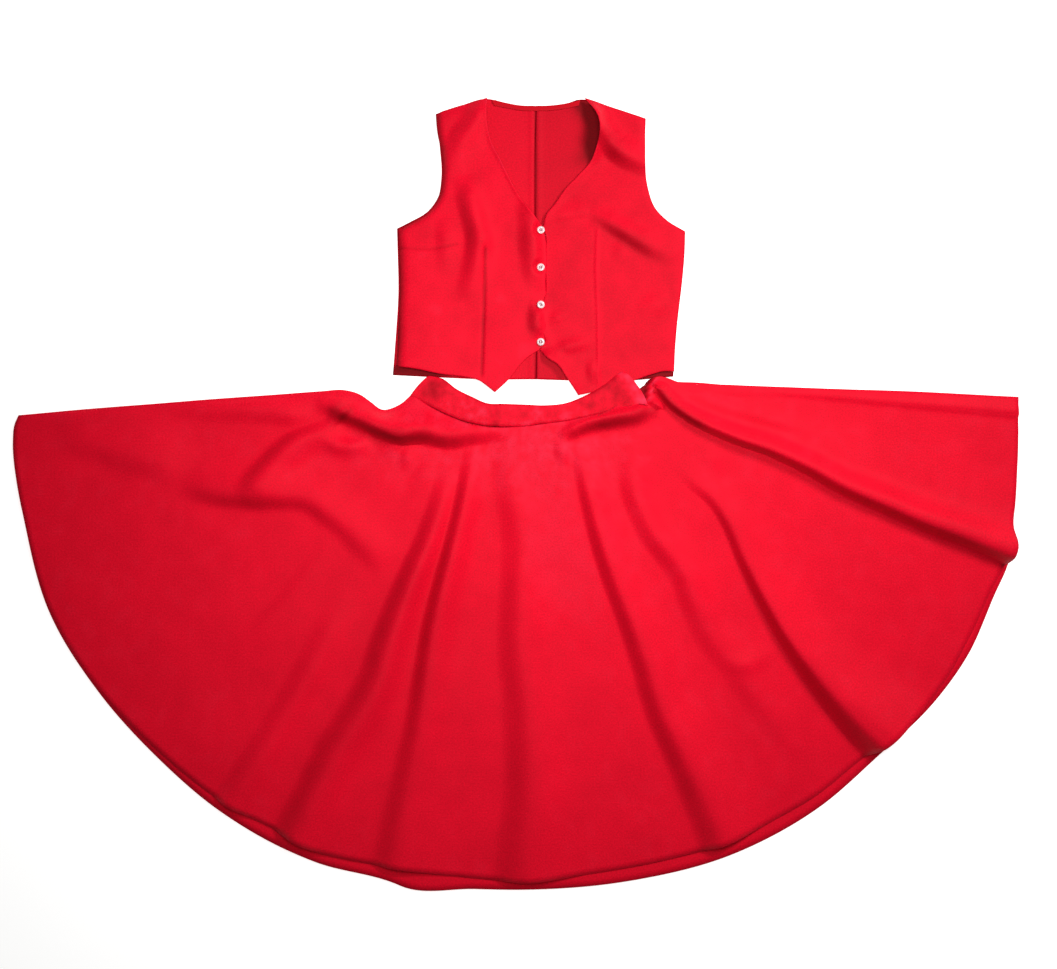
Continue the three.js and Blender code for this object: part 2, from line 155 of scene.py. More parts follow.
def alongLine(values, along):
    # a value that changes evenly from one listed number to the next along a line
    values = np.atleast_1d(np.array(values, float))
    if len(values) == 1:
        return np.full(along.shape, values[0])
    return np.interp(along, np.linspace(0, 1, len(values)), values)


def eased(x):
    x = np.clip(x, 0, 1)
    return x * x * (3 - 2 * x)


class Cloth:
    # one flat piece of cloth: its grid seen from above, its height, and how far folds lean it
    def __init__(self, grid, base):
        self.grid = grid
        self.height = np.zeros(grid.shape[:2]) + base
        self.lean = np.zeros(grid.shape)
        # crease: painted shade where above zero, a painted highlight where below, with some random mottle
        self.crease = np.zeros(grid.shape[:2])

    def fold(self, line, height, steep, gentle, lean=0, roll=0, crease=0):
        # cloth that climbs from the line's right side to a crest on its left and falls away beyond
        path = smoothLine(line, 48)
        reach = 3 * max(np.max(gentle), np.max(steep)) + 10
        aside, along = besideLine(self.grid, path, reach)
        steep, gentle = alongLine(steep, along), alongLine(gentle, along)
        high = alongLine(height, along)
        rise = np.clip((aside + steep) / (2 * steep), 0, 1)
        tube = np.sqrt(1 - (1 - rise) ** 2)
        shape = (1 - roll) * rise * rise * (3 - 2 * rise) + roll * tube
        past = np.maximum(aside - steep, 0)
        shape = shape * np.exp(-(past / gentle) ** 2)
        self.height += high * shape
        if lean:
            ends = np.gradient(path, axis=0)
            normal = np.column_stack([ends[:, 1], -ends[:, 0]]) / np.linalg.norm(ends, axis=1)[:, None]
            at = np.clip((along * 48).round().astype(int), 0, 48)
            strength = shape * lean * high / max(np.max(np.abs(height)), 1e-6)
            self.lean += normal[at] * strength[..., None]
        # painted shade along the fold's steep side
        if crease:
            self.crease += crease * np.exp(-(aside / steep) ** 2) * np.abs(high) / np.max(np.abs(height))

    def seam(self, line, depth, width, crease=0.5, fade=0.04):
        # a narrow sewn line pressed into the cloth
        path = smoothLine(line, 40)
        aside, along = besideLine(self.grid, path, width * 4 + 4)
        ends = np.clip(np.minimum(along, 1 - along) / max(fade, 1e-6), 0, 1)
        groove = np.exp(-(aside / width) ** 2) * ends
        self.height -= depth * groove
        # painted shade along the groove; a negative crease paints a highlight along the line instead
        self.crease += crease * groove

    def swell(self, centre, size, height):
        # a soft rise or hollow
        self.height += height * self.around(centre, size)

    def around(self, centre, size):
        # 1 at the centre, fading to 0 beyond the size
        away = self.grid - np.array(centre, float)
        return np.exp(-(away[..., 0] / size[0]) ** 2 - (away[..., 1] / size[1]) ** 2)

    def nearEdge(self, line):
        return np.abs(besideLine(self.grid, line, 60)[0])

    def ripple(self, height, size, seed):
        # slight unevenness of cloth that was worn and pressed
        rows, columns = self.grid.shape[:2]
        flat = self.grid.reshape(-1, 2) / size
        values = [noise.noise((x, y, seed)) for x, y in flat]
        self.height += height * np.array(values).reshape(rows, columns)

    def blotch(self, strength, size, seed, where=1.0):
        # uneven pressing, which leaves some of the nap lighter and some darker
        rows, columns = self.grid.shape[:2]
        flat = self.grid.reshape(-1, 2) / size
        values = np.array([noise.fractal((x, y, seed), 0.8, 2.0, 3) for x, y in flat]).reshape(rows, columns)
        self.crease += strength * where * values


def makeCloth(name, cloth, place, thickness, material, flip=False):
    # a mesh with the cloth's thickness under its grid, and a map in metres for the weave
    rows, columns = cloth.grid.shape[:2]
    moved = cloth.grid + cloth.lean + place
    points = np.dstack([moved, cloth.height]) * millimetre
    index = np.arange(rows * columns).reshape(rows, columns)
    quads = np.stack([index[:-1, :-1], index[:-1, 1:], index[1:, 1:], index[1:, :-1]], -1)
    quads = quads.reshape(-1, 4)
    if flip:
        quads = quads[:, ::-1]
    mesh = bpy.data.meshes.new(name)
    mesh.from_pydata(points.reshape(-1, 3).tolist(), [], quads.tolist())
    layer = mesh.uv_layers.new(name="weave")
    flat = (cloth.grid.reshape(-1, 2) * millimetre)[quads.ravel()]
    layer.data.foreach_set("uv", flat.astype(np.float32).ravel())
    # the crease values go with the mesh, for the painted shade and highlight in the suiting
    shade = mesh.attributes.new("crease", "FLOAT", "POINT")
    shade.data.foreach_set("value", np.clip(cloth.crease, -1, 1).astype(np.float32).ravel())
    mesh.polygons.foreach_set("use_smooth", [True] * len(mesh.polygons))
    piece = bpy.data.objects.new(name, mesh)
    bpy.context.scene.collection.objects.link(piece)
    mesh.materials.append(material)
    solid = piece.modifiers.new("thickness", "SOLIDIFY")
    solid.thickness = thickness * millimetre
    solid.offset = -1
    solid.use_even_offset = False
    settle(piece)
    return piece


def underStrip(cloth, rows, columns, drop):
    # part of a cloth's grid again, lying under it
    part = Cloth(cloth.grid[rows, columns], 0)
    part.height = cloth.height[rows, columns] - drop
    part.lean = cloth.lean[rows, columns]
    return part


def thread(name, runs, radius, material, sides=3):
    # round thread, wire or cord along runs of points given in millimetres
    curve = bpy.data.curves.new(name, "CURVE")
    curve.dimensions = "3D"
    curve.bevel_depth = radius * millimetre
    curve.bevel_resolution = sides
    curve.use_fill_caps = True
    for run in runs:
        spline = curve.splines.new("POLY")
        spline.points.add(len(run) - 1)
        placed = [c for x, y, z in run for c in (x * millimetre, y * millimetre, z * millimetre, 1)]
        spline.points.foreach_set("co", placed)
    drawn = bpy.data.objects.new(name, curve)
    bpy.context.scene.collection.objects.link(drawn)
    mesh = bpy.data.meshes.new_from_object(drawn.evaluated_get(bpy.context.evaluated_depsgraph_get()))
    bpy.data.objects.remove(drawn)
    mesh.name = name
    mesh.polygons.foreach_set("use_smooth", [True] * len(mesh.polygons))
    mesh.materials.clear()
    mesh.materials.append(material)
    piece = bpy.data.objects.new(name, mesh)
    bpy.context.scene.collection.objects.link(piece)
    return piece


def stitches(points, length, gap, sink):
    # one short run for each stitch along a line, dipping into the cloth at its ends
    at = distances(points)
    runs = []
    for start in np.arange(0, at[-1] - length, length + gap):
        run = pointsAt(points, at, start + length * np.array([0, 0.18, 0.5, 0.82, 1]))
        run[:, 2] += np.array([-sink, 0, 0.06, 0, -sink])
        runs.append(run.tolist())
    return runs


def laid(cloth, rows, columns, place, lift):
    # the points of a line that lies on a cloth, in millimetres
    flat = cloth.grid[rows, columns] + cloth.lean[rows, columns] + place
    return np.column_stack([flat, cloth.height[rows, columns] + lift])


def sewnLine(name, kind, cloth, row, columns, place):
    # a line of stitches along one row of a cloth's grid
    stitch = stitchKinds[kind]
    runs = stitches(laid(cloth, row, columns, place, 0.04), stitch["length"], stitch["gap"], stitch["sink"])
    return thread(name, runs, stitch["radius"], redThread, 1)


def settle(piece):
    # applies a piece's modifiers, so that what bends with a joint is its final mesh
    view = bpy.context.evaluated_depsgraph_get()
    final = bpy.data.meshes.new_from_object(piece.evaluated_get(view))
    piece.modifiers.clear()
    piece.data = final
    final.name = piece.name


def linearColour(code):
    parts = [int(code[i:i + 2], 16) / 255 for i in (1, 3, 5)]
    return [c / 12.92 if c <= 0.04045 else ((c + 0.055) / 1.055) ** 2.4 for c in parts] + [1]


def newMaterial(name):
    material = bpy.data.materials.new(name)
    material.use_nodes = True
    material.node_tree.nodes.clear()
    return material


def addNode(material, kind, settings=None, links=None):
    node = material.node_tree.nodes.new(kind)
    for name, value in (settings or {}).items():
        if isinstance(name, str) and hasattr(node, name):
            setattr(node, name, value)
        else:
            node.inputs[name].default_value = value
    for name, source in (links or {}).items():
        material.node_tree.links.new(source, node.inputs[name])
    return node


def suiting(name, colour, paintedShadeColour, paintedHighlightColour, napSize=0.0024):
    # Wool and polyester suiting, plain woven and lightly felted: a matte face with a fine even nap
    # and a faint cross weave. Threads are 0.5 mm apart, too fine to show, so they are drawn at 2 mm.
    material = newMaterial(name)
    weaveMap = addNode(material, "ShaderNodeUVMap", {"uv_map": "weave"})
    nap = addNode(material, "ShaderNodeTexNoise", {"Scale": 1 / napSize, "Detail": 3, "Roughness": 0.6},
                  {"Vector": weaveMap.outputs[0]})
    cloudy = addNode(material, "ShaderNodeTexNoise", {"Scale": 14, "Detail": 2},
                     {"Vector": weaveMap.outputs[0]})
    warp = addNode(material, "ShaderNodeTexWave",
                   {"bands_direction": "X", "Scale": 157, "Distortion": 1.2, "Detail": 1, "Detail Scale": 3},
                   {"Vector": weaveMap.outputs[0]})
    weft = addNode(material, "ShaderNodeTexWave",
                   {"bands_direction": "Y", "Scale": 157, "Distortion": 1.2, "Detail": 1, "Detail Scale": 3},
                   {"Vector": weaveMap.outputs[0]})
    threads = addNode(material, "ShaderNodeMath", {"operation": "MULTIPLY"},
                      {0: warp.outputs["Fac"], 1: weft.outputs["Fac"]})
    napTone = addNode(material, "ShaderNodeMapRange",
                      {"From Min": 0.3, "From Max": 0.7, "To Min": 0.81, "To Max": 1.15},
                      {"Value": nap.outputs["Fac"]})
    threadTone = addNode(material, "ShaderNodeMapRange", {"To Min": 0.97, "To Max": 1.03},
                         {"Value": threads.outputs[0]})
    cloudTone = addNode(material, "ShaderNodeMapRange",
                        {"From Min": 0.35, "From Max": 0.65, "To Min": 0.97, "To Max": 1.03},
                        {"Value": cloudy.outputs["Fac"]})
    tone = addNode(material, "ShaderNodeMath", {"operation": "MULTIPLY"},
                   {0: napTone.outputs[0], 1: threadTone.outputs[0]})
    tone = addNode(material, "ShaderNodeMath", {"operation": "MULTIPLY"},
                   {0: tone.outputs[0], 1: cloudTone.outputs[0]})
    # the crease value mixes in painted shade: towards the deep red where it is above zero
    crease = addNode(material, "ShaderNodeAttribute", {"attribute_name": "crease"})
    base = addNode(material, "ShaderNodeMix",
                   {"data_type": "RGBA", 6: linearColour(colour), 7: linearColour(paintedShadeColour)},
                   {0: crease.outputs["Fac"]})
    # and a painted highlight: towards the pale pink where it is below zero
    ridge = addNode(material, "ShaderNodeMath", {"operation": "MULTIPLY", 1: -1.0},
                    {0: crease.outputs["Fac"]})
    base = addNode(material, "ShaderNodeMix", {"data_type": "RGBA", 7: linearColour(paintedHighlightColour)},
                   {0: ridge.outputs[0], 6: base.outputs[2]})
    shaded = addNode(material, "ShaderNodeVectorMath", {"operation": "SCALE"},
                     {0: base.outputs[2], "Scale": tone.outputs[0]})
    height = addNode(material, "ShaderNodeMath", {"operation": "MULTIPLY_ADD", 1: 0.35},
                     {0: threads.outputs[0], 2: nap.outputs["Fac"]})
    bump = addNode(material, "ShaderNodeBump", {"Strength": 0.35, "Distance": 0.0006},
                   {"Height": height.outputs[0]})
    rough = addNode(material, "ShaderNodeMapRange", {"To Min": 0.5, "To Max": 0.72},
                    {"Value": nap.outputs["Fac"]})
    cloth = addNode(material, "ShaderNodeBsdfPrincipled",
                    {"Specular IOR Level": 0.09, "Sheen Weight": 0.06, "Sheen Roughness": 0.4,
                     "Sheen Tint": linearColour("#ff9ab8")},
                    {"Base Color": shaded.outputs[0], "Roughness": rough.outputs[0],
                     "Normal": bump.outputs[0]})
    addNode(material, "ShaderNodeOutputMaterial", {}, {"Surface": cloth.outputs[0]})
    return material


def plainFinish(name, colour, roughness, grain, tones=(0.92, 1.06), settings=None, bumpHeight=0.0001):
    # a finish with a fine grain in its tone, its roughness and its surface
    material = newMaterial(name)
    place = addNode(material, "ShaderNodeTexCoord")
    grains = addNode(material, "ShaderNodeTexNoise", {"Scale": 1 / grain, "Detail": 2},
                     {"Vector": place.outputs["Object"]})
    tone = addNode(material, "ShaderNodeMapRange",
                   {"From Min": 0.3, "From Max": 0.7, "To Min": tones[0], "To Max": tones[1]},
                   {"Value": grains.outputs["Fac"]})
    shaded = addNode(material, "ShaderNodeVectorMath", {"operation": "SCALE", 0: linearColour(colour)[:3]},
                     {"Scale": tone.outputs[0]})
    rough = addNode(material, "ShaderNodeMapRange",
                    {"To Min": roughness * 0.85, "To Max": min(1, roughness * 1.15)},
                    {"Value": grains.outputs["Fac"]})
    bump = addNode(material, "ShaderNodeBump", {"Strength": 0.3, "Distance": bumpHeight},
                   {"Height": grains.outputs["Fac"]})
    shader = addNode(material, "ShaderNodeBsdfPrincipled", settings or {},
                     {"Base Color": shaded.outputs[0], "Roughness": rough.outputs[0],
                      "Normal": bump.outputs[0]})
    addNode(material, "ShaderNodeOutputMaterial", {}, {"Surface": shader.outputs[0]})
    return material


print("making the materials")
# The deep red is painted shade for folds, seams and hollows; the pale pink is a painted highlight for ridges
# and lit edges.
redSuiting = suiting("red wool-polyester suiting", "#e90527", "#82000c", "#f23e60")
# Polyester twill tape: dull and a shade deeper than the suiting, with a fine slanting grain.
redTwillTape = plainFinish("red polyester twill tape", "#c40519", 0.8, 0.0012,
                           settings={"Specular IOR Level": 0.12})
# Spun polyester thread: a soft sheen along tight fibres, slightly darker than the cloth.
redThread = plainFinish("spun polyester thread", "#c40f24", 0.6, 0.0005)
# The same thread with painted shade, for where it is sewn tight into the buttons' holes and little light
# reaches it.
shadedThread = plainFinish("shade-painted polyester thread", "#97464c", 0.65, 0.0005)
# Cast polyester pearl: a milky body with a clear gloss over it.
pearl = plainFinish("cast polyester pearl", "#e6cccd", 0.22, 0.003, (0.94, 1.03),
                    {"Coat Weight": 0.6, "Coat Roughness": 0.08, "Subsurface Weight": 0.1,
                     "Subsurface Radius": (0.002, 0.002, 0.002)})
# Drawn nylon coil: smooth with a dull gloss.
redNylon = plainFinish("drawn nylon coil", "#a50f22", 0.4, 0.002)
# Nickel-plated steel: bright with a soft brushed blur.
nickel = plainFinish("nickel-plated steel", "#c9c6c0", 0.28, 0.0015, settings={"Metallic": 1.0})


# Stitches in millimetres, drawn twice as thick as the real thread so that they show.
stitchKinds = {
    "hem": {"length": 3.0, "gap": 1.0, "sink": 0.5, "radius": 0.24},
    "band": {"length": 2.6, "gap": 0.8, "sink": 0.5, "radius": 0.22},
    "neck": {"length": 2.4, "gap": 0.8, "sink": 0.4, "radius": 0.2},
}

print("laying the skirt")
skirt = {
    "thickness": 1.1,
    "columns": 480,
    "rows": 94,
    "crowdedAt": (0.31, 0.39, 0.48, 0.6, 0.76, 0.93),       # shares of the width where columns stand closer
    "waistLift": 6.2, "fallToHem": 3.6, "lowest": 2.6,      # heights of the front panel
    "rollTop": 27, "rollGives": 0.5,                        # the rolls flatten under their own weight
    "hemDepth": 16,
    "zipFrom": 190, "zipTo": 362, "overZip": 6.5,
    "hinge": {"start": (0, 0.10, 0.0068), "end": (0, 0.05, 0.0068)},
    "waistSeam": [(-148, 3), (-118, -16), (-77, -34), (-45, -41), (-4, -43), (52, -37), (82, -33),
                  (118, -26), (150, -20), (187, -13)],
    "leftEdge": [(-148, 3), (-165, -11), (-189, -17), (-205, -7), (-222, 4), (-246, 10), (-275, 8),
                 (-340, 3), (-450, -5), (-600, -17), (-705, -26)],
    "rightEdge": [(187, -13), (181, 1), (177, 8), (185, 19), (193, 27), (203, 29), (213, 27), (229, 21),
                  (300, 17), (400, 13), (560, 7), (711, 0)],
    "frontHem": [(-705, -26), (-711, -40), (-713, -61), (-708, -118), (-697, -175), (-662, -302),
                 (-591, -416), (-503, -506), (-415, -575), (-331, -619), (-287, -642), (-186, -665),
                 (-81, -680), (17, -686), (114, -675), (219, -655), (283, -637), (354, -606), (430, -562),
                 (488, -515), (538, -478), (609, -401), (648, -330), (677, -268), (692, -240), (704, -214),
                 (706, -203), (703, -186), (707, -150), (710, -110), (712, -55), (711, 0)],
}

across = np.linspace(0, 1, skirt["columns"] + 1)
# columns stand closer where the cloth folds, and rows stand closer near the waist
crowded = 1 + 0.9 * sum(np.exp(-((across - at) / 0.035) ** 2) for at in skirt["crowdedAt"])
across = np.concatenate([[0], np.cumsum((crowded[1:] + crowded[:-1]) / 2)])
across = across / across[-1]
across = np.interp(np.linspace(0, 1, skirt["columns"] + 1), across, np.linspace(0, 1, len(across)))
down = np.linspace(0, 1, skirt["rows"] + 1) ** 1.25

waist = spaced(smoothLine(skirt["waistSeam"], 200), across)
hem = spaced(smoothLine(skirt["frontHem"], 900), across)
leftEdge = spaced(smoothLine(skirt["leftEdge"], 300), down)
rightEdge = spaced(smoothLine(skirt["rightEdge"], 300), down)
front = Cloth(gridBetween(waist, hem, leftEdge, rightEdge, across, down), 0)
front.height += skirt["waistLift"] - skirt["fallToHem"] * down[:, None]

frontFolds = [
    # the high roll that runs out to the right side
    {"line": [(204, 8), (212, -3), (247, -30), (304, -57), (361, -77), (410, -100), (460, -128), (517, -153),
              (574, -178), (630, -199), (687, -223), (740, -246)],
     "height": [12, 19, 21, 22, 22, 23, 24, 25, 25, 24], "steep": [5, 6, 6.5, 7, 8, 9, 10, 11],
     "gentle": [7, 9, 13, 17, 22, 26], "lean": 6, "roll": 0.5, "crease": 0.4},
    # the cloth beyond that roll stays a little lifted
    {"line": [(240, -10), (304, -50), (410, -90), (517, -143), (630, -190), (740, -230)],
     "height": [2, 4, 5, 5, 5, 4], "steep": 10, "gentle": [20, 50, 70]},
    # the long roll down to the right of the hem
    {"line": [(228, -96), (247, -121), (276, -146), (300, -182), (320, -228), (337, -262), (358, -302),
              (380, -340), (408, -380), (440, -421), (470, -456), (505, -492), (545, -526)],
     "height": [0, 6, 11, 14, 18, 21, 23, 25, 26, 26], "steep": [8, 7, 7, 8, 10, 14, 18, 21],
     "gentle": [16, 26, 40, 60], "lean": 7, "roll": 0.3, "crease": 0.35},
    # soft flutes from the waist to the hem, left to right
    {"line": [(-250, -260), (-278, -331), (-307, -388), (-335, -437), (-356, -473), (-392, -530),
              (-432, -590)],
     "height": [0, 4, 8, 9, 10, 11, 11], "steep": [14, 15, 15], "gentle": [18, 24]},
    {"line": [(-262, -195), (-307, -253), (-335, -288), (-378, -331), (-420, -370)],
     "height": [0, 3, 3, 0], "steep": 11, "gentle": 20},
    {"line": [(-100, -92), (-115, -146), (-129, -189), (-151, -239), (-172, -288), (-193, -345),
              (-212, -402), (-236, -444), (-264, -487), (-290, -537), (-311, -579), (-340, -640)],
     "height": [0, 9, 15, 17, 17, 17, 17, 17, 16], "steep": [10, 13, 18, 19, 19], "gentle": [12, 18, 26, 34],
     "crease": 0.2},
    {"line": [(-66, -64), (-74, -110), (-80, -142), (-91, -189), (-108, -253), (-124, -317), (-136, -388),
              (-149, -473), (-165, -544), (-179, -608), (-195, -690)],
     "height": [0, 12, 16, 16, 14, 12, 11, 11, 10], "steep": [9, 10, 12, 16, 20], "gentle": [16, 22, 34, 44],
     "crease": 0.2},
    {"line": [(-26, -66), (-22, -120), (-8, -196), (-9, -267), (-11, -345), (-3, -444), (1, -551),
              (-9, -643), (-12, -720)],
     "height": [0, 7, 10, 12, 13, 14, 14, 13], "steep": [14, 20, 26], "gentle": [20, 34, 48],
     "crease": 0.12},
    {"line": [(77, -60), (86, -95), (94, -132), (112, -203), (133, -267), (155, -324), (176, -388),
              (193, -444), (222, -508), (247, -565), (268, -615), (290, -690)],
     "height": [0, 10, 13, 14, 15, 16, 16, 16, 16], "steep": [8, 11, 16, 21], "gentle": [14, 26, 38, 50],
     "crease": 0.15},
    {"line": [(158, -60), (154, -100), (156, -135), (169, -168), (182, -196), (204, -224), (226, -253),
              (242, -296), (265, -345), (300, -388), (330, -432), (365, -478), (395, -525)],
     "height": [0, 9, 11, 12, 11, 8, 6, 5, 3.5, 0], "steep": [12, 14, 15], "gentle": [18, 24, 30]},
    {"line": [(262, -60), (268, -90), (280, -120)], "height": [0, 3.5, 0], "steep": 9, "gentle": 14},
    {"line": [(55, -58), (58, -75), (60, -98)], "height": [0, 6, 0], "steep": 8, "gentle": 9},
    {"line": [(-156, -64), (-160, -84), (-158, -110)], "height": [0, 4, 0], "steep": 7, "gentle": 12},
    {"line": [(-128, -66), (-136, -100), (-156, -140)], "height": [0, 3, 0], "steep": 10, "gentle": 14},
    # crumples on the left
    {"line": [(-480, -128), (-456, -138), (-420, -147), (-378, -151), (-335, -151), (-300, -154),
              (-271, -173), (-250, -189), (-222, -217), (-190, -252)],
     "height": [0, 8, 12, 13, 13, 11, 9, 7, 5, 0], "steep": [13, 12, 11, 12], "gentle": [26, 32, 26],
     "crease": 0.12},
    {"line": [(-660, -62), (-612, -77), (-577, -89), (-548, -97), (-513, -107), (-470, -128)],
     "height": [0, 5, 7, 8, 6, 0], "steep": 17, "gentle": 34},
    {"line": [(-250, -34), (-285, -44), (-311, -54), (-335, -71), (-356, -92), (-378, -118), (-395, -145)],
     "height": [0, 10, 14, 15, 14, 11, 0], "steep": [9, 12, 14], "gentle": [16, 24, 28], "crease": 0.15},
    {"line": [(-500, -24), (-434, -28), (-363, -30), (-307, -35), (-262, -28)],
     "height": [0, 5, 7, 8, 0], "steep": 12, "gentle": 20},
    {"line": [(-690, -42), (-640, -36), (-580, -32), (-520, -30)],
     "height": [0, 4, 4, 0], "steep": 12, "gentle": 16},
    # the hollow below the waistband's left end, with the cloth bulging over it and painted shade in it
    {"line": [(-285, -16), (-256, -20), (-240, -28), (-218, -36), (-193, -47), (-165, -55), (-129, -54),
              (-101, -61), (-65, -58), (-30, -55), (0, -56)],
     "height": [0, 12, 17, 22, 24, 22, 18, 15, 11, 6, 0], "steep": [8, 9, 11, 13, 12, 10, 8],
     "gentle": [12, 17, 16, 12], "lean": 6, "roll": 0.35, "crease": 0.8},
    {"line": [(-208, -54), (-226, -62), (-250, -60), (-272, -48)],
     "height": [0, 9, 9, 0], "steep": 8, "gentle": 12},
    # the short hollow below the waistband's right end, with painted shade in it
    {"line": [(64, -64), (80, -54), (100, -45), (120, -40), (141, -36), (169, -31), (192, -20)],
     "height": [0, 10, 14, 16, 16, 14, 9], "steep": [7, 9, 10], "gentle": 7, "roll": 0.2, "crease": 0.75},
    {"line": [(297, -388), (325, -386), (348, -378), (365, -360)],
     "height": [0, 4, 3, 0], "steep": 8, "gentle": 12},
    # the seam's turning, just below the right side edge
    {"line": [(225, 16), (300, 9), (380, 4), (453, -3), (520, -10), (595, -17), (660, -23), (730, -29)],
     "height": [0, 3.5, 4, 4.5, 4.5], "steep": [8, 6, 4, 3.5], "gentle": 18},
    {"line": [(228, 8), (290, -18), (370, -42), (430, -62)],
     "height": [0, 3, 3, 0], "steep": 7, "gentle": 10},
]
for fold in frontFolds:
    front.fold(**fold)
front.swell((90, -150), (90, 90), 3)
front.fold([(-264, -46), (-250, -34), (-236, -20), (-222, -8)], [0, 8, 9, 0], 5, 9, crease=0.5)
front.fold([(-180, -92), (-166, -72), (-150, -50), (-138, -34)], [0, 4, 4, 0], 8, 14)
nearWaist = front.around((20, -60), (210, 75))
front.blotch(0.16, 13, 6.1, nearWaist)
front.blotch(0.05, 20, 1.3)
# painted light: a lighter pool below the waistband
front.crease -= 0.15 * nearWaist
# beside the waistband's right end the cloth turns up in a narrow ridge, with painted shade along one side of
# it and a painted highlight along its top
ridge, alongRidge = besideLine(front.grid, smoothLine([(187, -14), (189, 2), (193, 16), (200, 26)], 30), 40)
front.crease += (1.1 * eased((ridge - 0.5) / 5) * (ridge < 20) * (alongRidge > 0.01)
                 - 0.4 * np.exp(-(ridge / 2.2) ** 2))
front.height += 6 * np.exp(-(ridge / 4.5) ** 2)
# a line of painted shade, with no groove, along the start of the high roll
front.seam([(201, 20), (206, 8), (215, -5), (240, -25), (275, -44)], 0, 7, 0.5, 0.2)
# painted shade over a broad patch at the lower left and one below the waistband's right end, and painted light
# in a patch below the middle
for centre, size, tone in (((-150, -360), 160, 0.15), ((60, -230), 90, -0.11), ((204, -75), 60, 0.1)):
    front.crease += tone * front.around(centre, (size, size))
front.ripple(1.6, 95, 3.1)
front.ripple(0.5, 28, 8.4)

hemLine = smoothLine(skirt["frontHem"], 400)
fromHem = front.nearEdge(hemLine)
front.height -= 0.4 * np.exp(-((fromHem - skirt["hemDepth"]) / 2.2) ** 2)       # the hem's stitched line
fromLeft = front.nearEdge(smoothLine(skirt["leftEdge"], 200))
fromRight = front.nearEdge(smoothLine(skirt["rightEdge"], 200))
side = np.minimum(fromLeft, fromRight)
front.height -= np.clip(front.height - 3.0, 0, None) * 0.8 * np.exp(-(side / 7) ** 2)
front.height = np.maximum(front.height, skirt["lowest"])
front.height -= skirt["rollGives"] * np.maximum(front.height - skirt["rollTop"], 0)
# the panel stays clear of the zip that lies under its right side edge
sideways = front.grid[..., 0]
overZip = eased((sideways - skirt["zipFrom"]) / 14) * (1 - eased((sideways - skirt["zipTo"]) / 30))
front.height = np.maximum(front.height, skirt["overZip"] * overZip * np.exp(-(fromRight / 26) ** 4))

frontCloth = makeCloth("skirt_front_panel", front, skirtCentre, skirt["thickness"], redSuiting)
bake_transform(frontCloth)
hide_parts("skirt_front_top", "skirt_front")

hemThread = sewnLine("skirt_front_hem_stitching", "hem", front, -3, slice(2, -2), skirtCentre)
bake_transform(hemThread)

skirtUnder = {
    "backHem": [(-705, -26), (-711, -40), (-713, -61), (-708, -118), (-697, -178), (-662, -305),
                (-591, -420), (-505, -515), (-429, -581), (-331, -640), (-284, -660), (-172, -690),
                (-160, -695), (-60, -698), (13, -699), (158, -687), (304, -650), (430, -582), (515, -508),
                (594, -432), (640, -368), (680, -278), (697, -240), (704, -214), (705, -203), (703, -186),
                (707, -150), (710, -110), (712, -55), (713, 0)],
    "backWaist": [(-148, -8), (-118, -28), (-77, -46), (-45, -53), (-4, -55), (52, -50), (118, -38),
                  (170, -24), (192, -10)],
    "backLeft": [(-148, -8), (-189, -22), (-222, 0), (-246, 6), (-340, 1), (-450, -6), (-600, -18),
                 (-705, -26)],
    "backRight": [(192, -10), (200, 10), (214, 20), (240, 21), (300, 17), (400, 13), (560, 8), (713, 0)],
}
across = np.linspace(0, 1, 301)
down = np.linspace(0, 1, 71)
under = Cloth(gridBetween(spaced(smoothLine(skirtUnder["backWaist"], 200), across),
                          spaced(smoothLine(skirtUnder["backHem"], 900), across),
                          spaced(smoothLine(skirtUnder["backLeft"], 300), down),
                          spaced(smoothLine(skirtUnder["backRight"], 300), down)), 1.2)
under.ripple(0.25, 60, 5.2)
underCloth = makeCloth("skirt_back_panel", under, skirtCentre, skirt["thickness"], redSuiting)
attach(underCloth, "skirt")
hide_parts("skirt_back")


print("sewing the waistband")
band = {
    "seam": [(-151, 0), (-118, -16), (-77, -34), (-45, -41), (-4, -43), (52, -37), (82, -33), (118, -26),
             (152, -19), (187, -13)],
    "top": [(-124, 30), (-105, 26), (-84, 11), (-62, 0), (-41, -9), (-16, -10), (13, -11), (41, -12),
            (70, -9), (94, 0), (112, 9), (129, 20), (143, 31), (150, 36)],
    "leftEnd": [(-151, 0), (-141, 13), (-132, 23), (-124, 30)],
    "rightEnd": [(187, -13), (181, 1), (170, 18), (159, 31), (150, 36)],
    "height": 7.0,
    "thickness": 2.0,
}
bandFront = Cloth(patch(band["seam"], band["top"], band["leftEnd"], band["rightEnd"], 220, 26),
                  band["height"])
acrossBand = np.linspace(0, 1, 221)[None, :] + np.zeros((27, 1))
upBand = np.linspace(0, 1, 27)[:, None] + np.zeros((1, 221))
bandFront.height += 1.2 * np.sin(np.pi * np.clip(upBand, 0, 1)) - 1.5 * eased((0.2 - acrossBand) / 0.2)
bandFront.height -= 1.4 * np.exp(-(upBand / 0.05) ** 2)
bandFront.height -= 1.0 * np.exp(-((1 - upBand) / 0.05) ** 2)
bandFront.height += 3.5 * eased((acrossBand - 0.86) / 0.12)
bandFront.fold([(-18, -52), (-16, -30), (-14, -5)], [2, 2, 1.5], 5, 14)
bandFront.fold([(60, -50), (64, -28), (68, -2)], [1, 1, 0.6], 6, 14)
bandFront.fold([(120, -45), (126, -20), (120, 22)], [1.2, 1.4, 1.5], 9, 18)
bandFront.fold([(-112, -30), (-100, -8), (-88, 26)], [1.2, 1.4, 1.2], 8, 20)
bandFront.ripple(0.6, 22, 1.7)
bandFront.ripple(0.35, 9, 5.3)
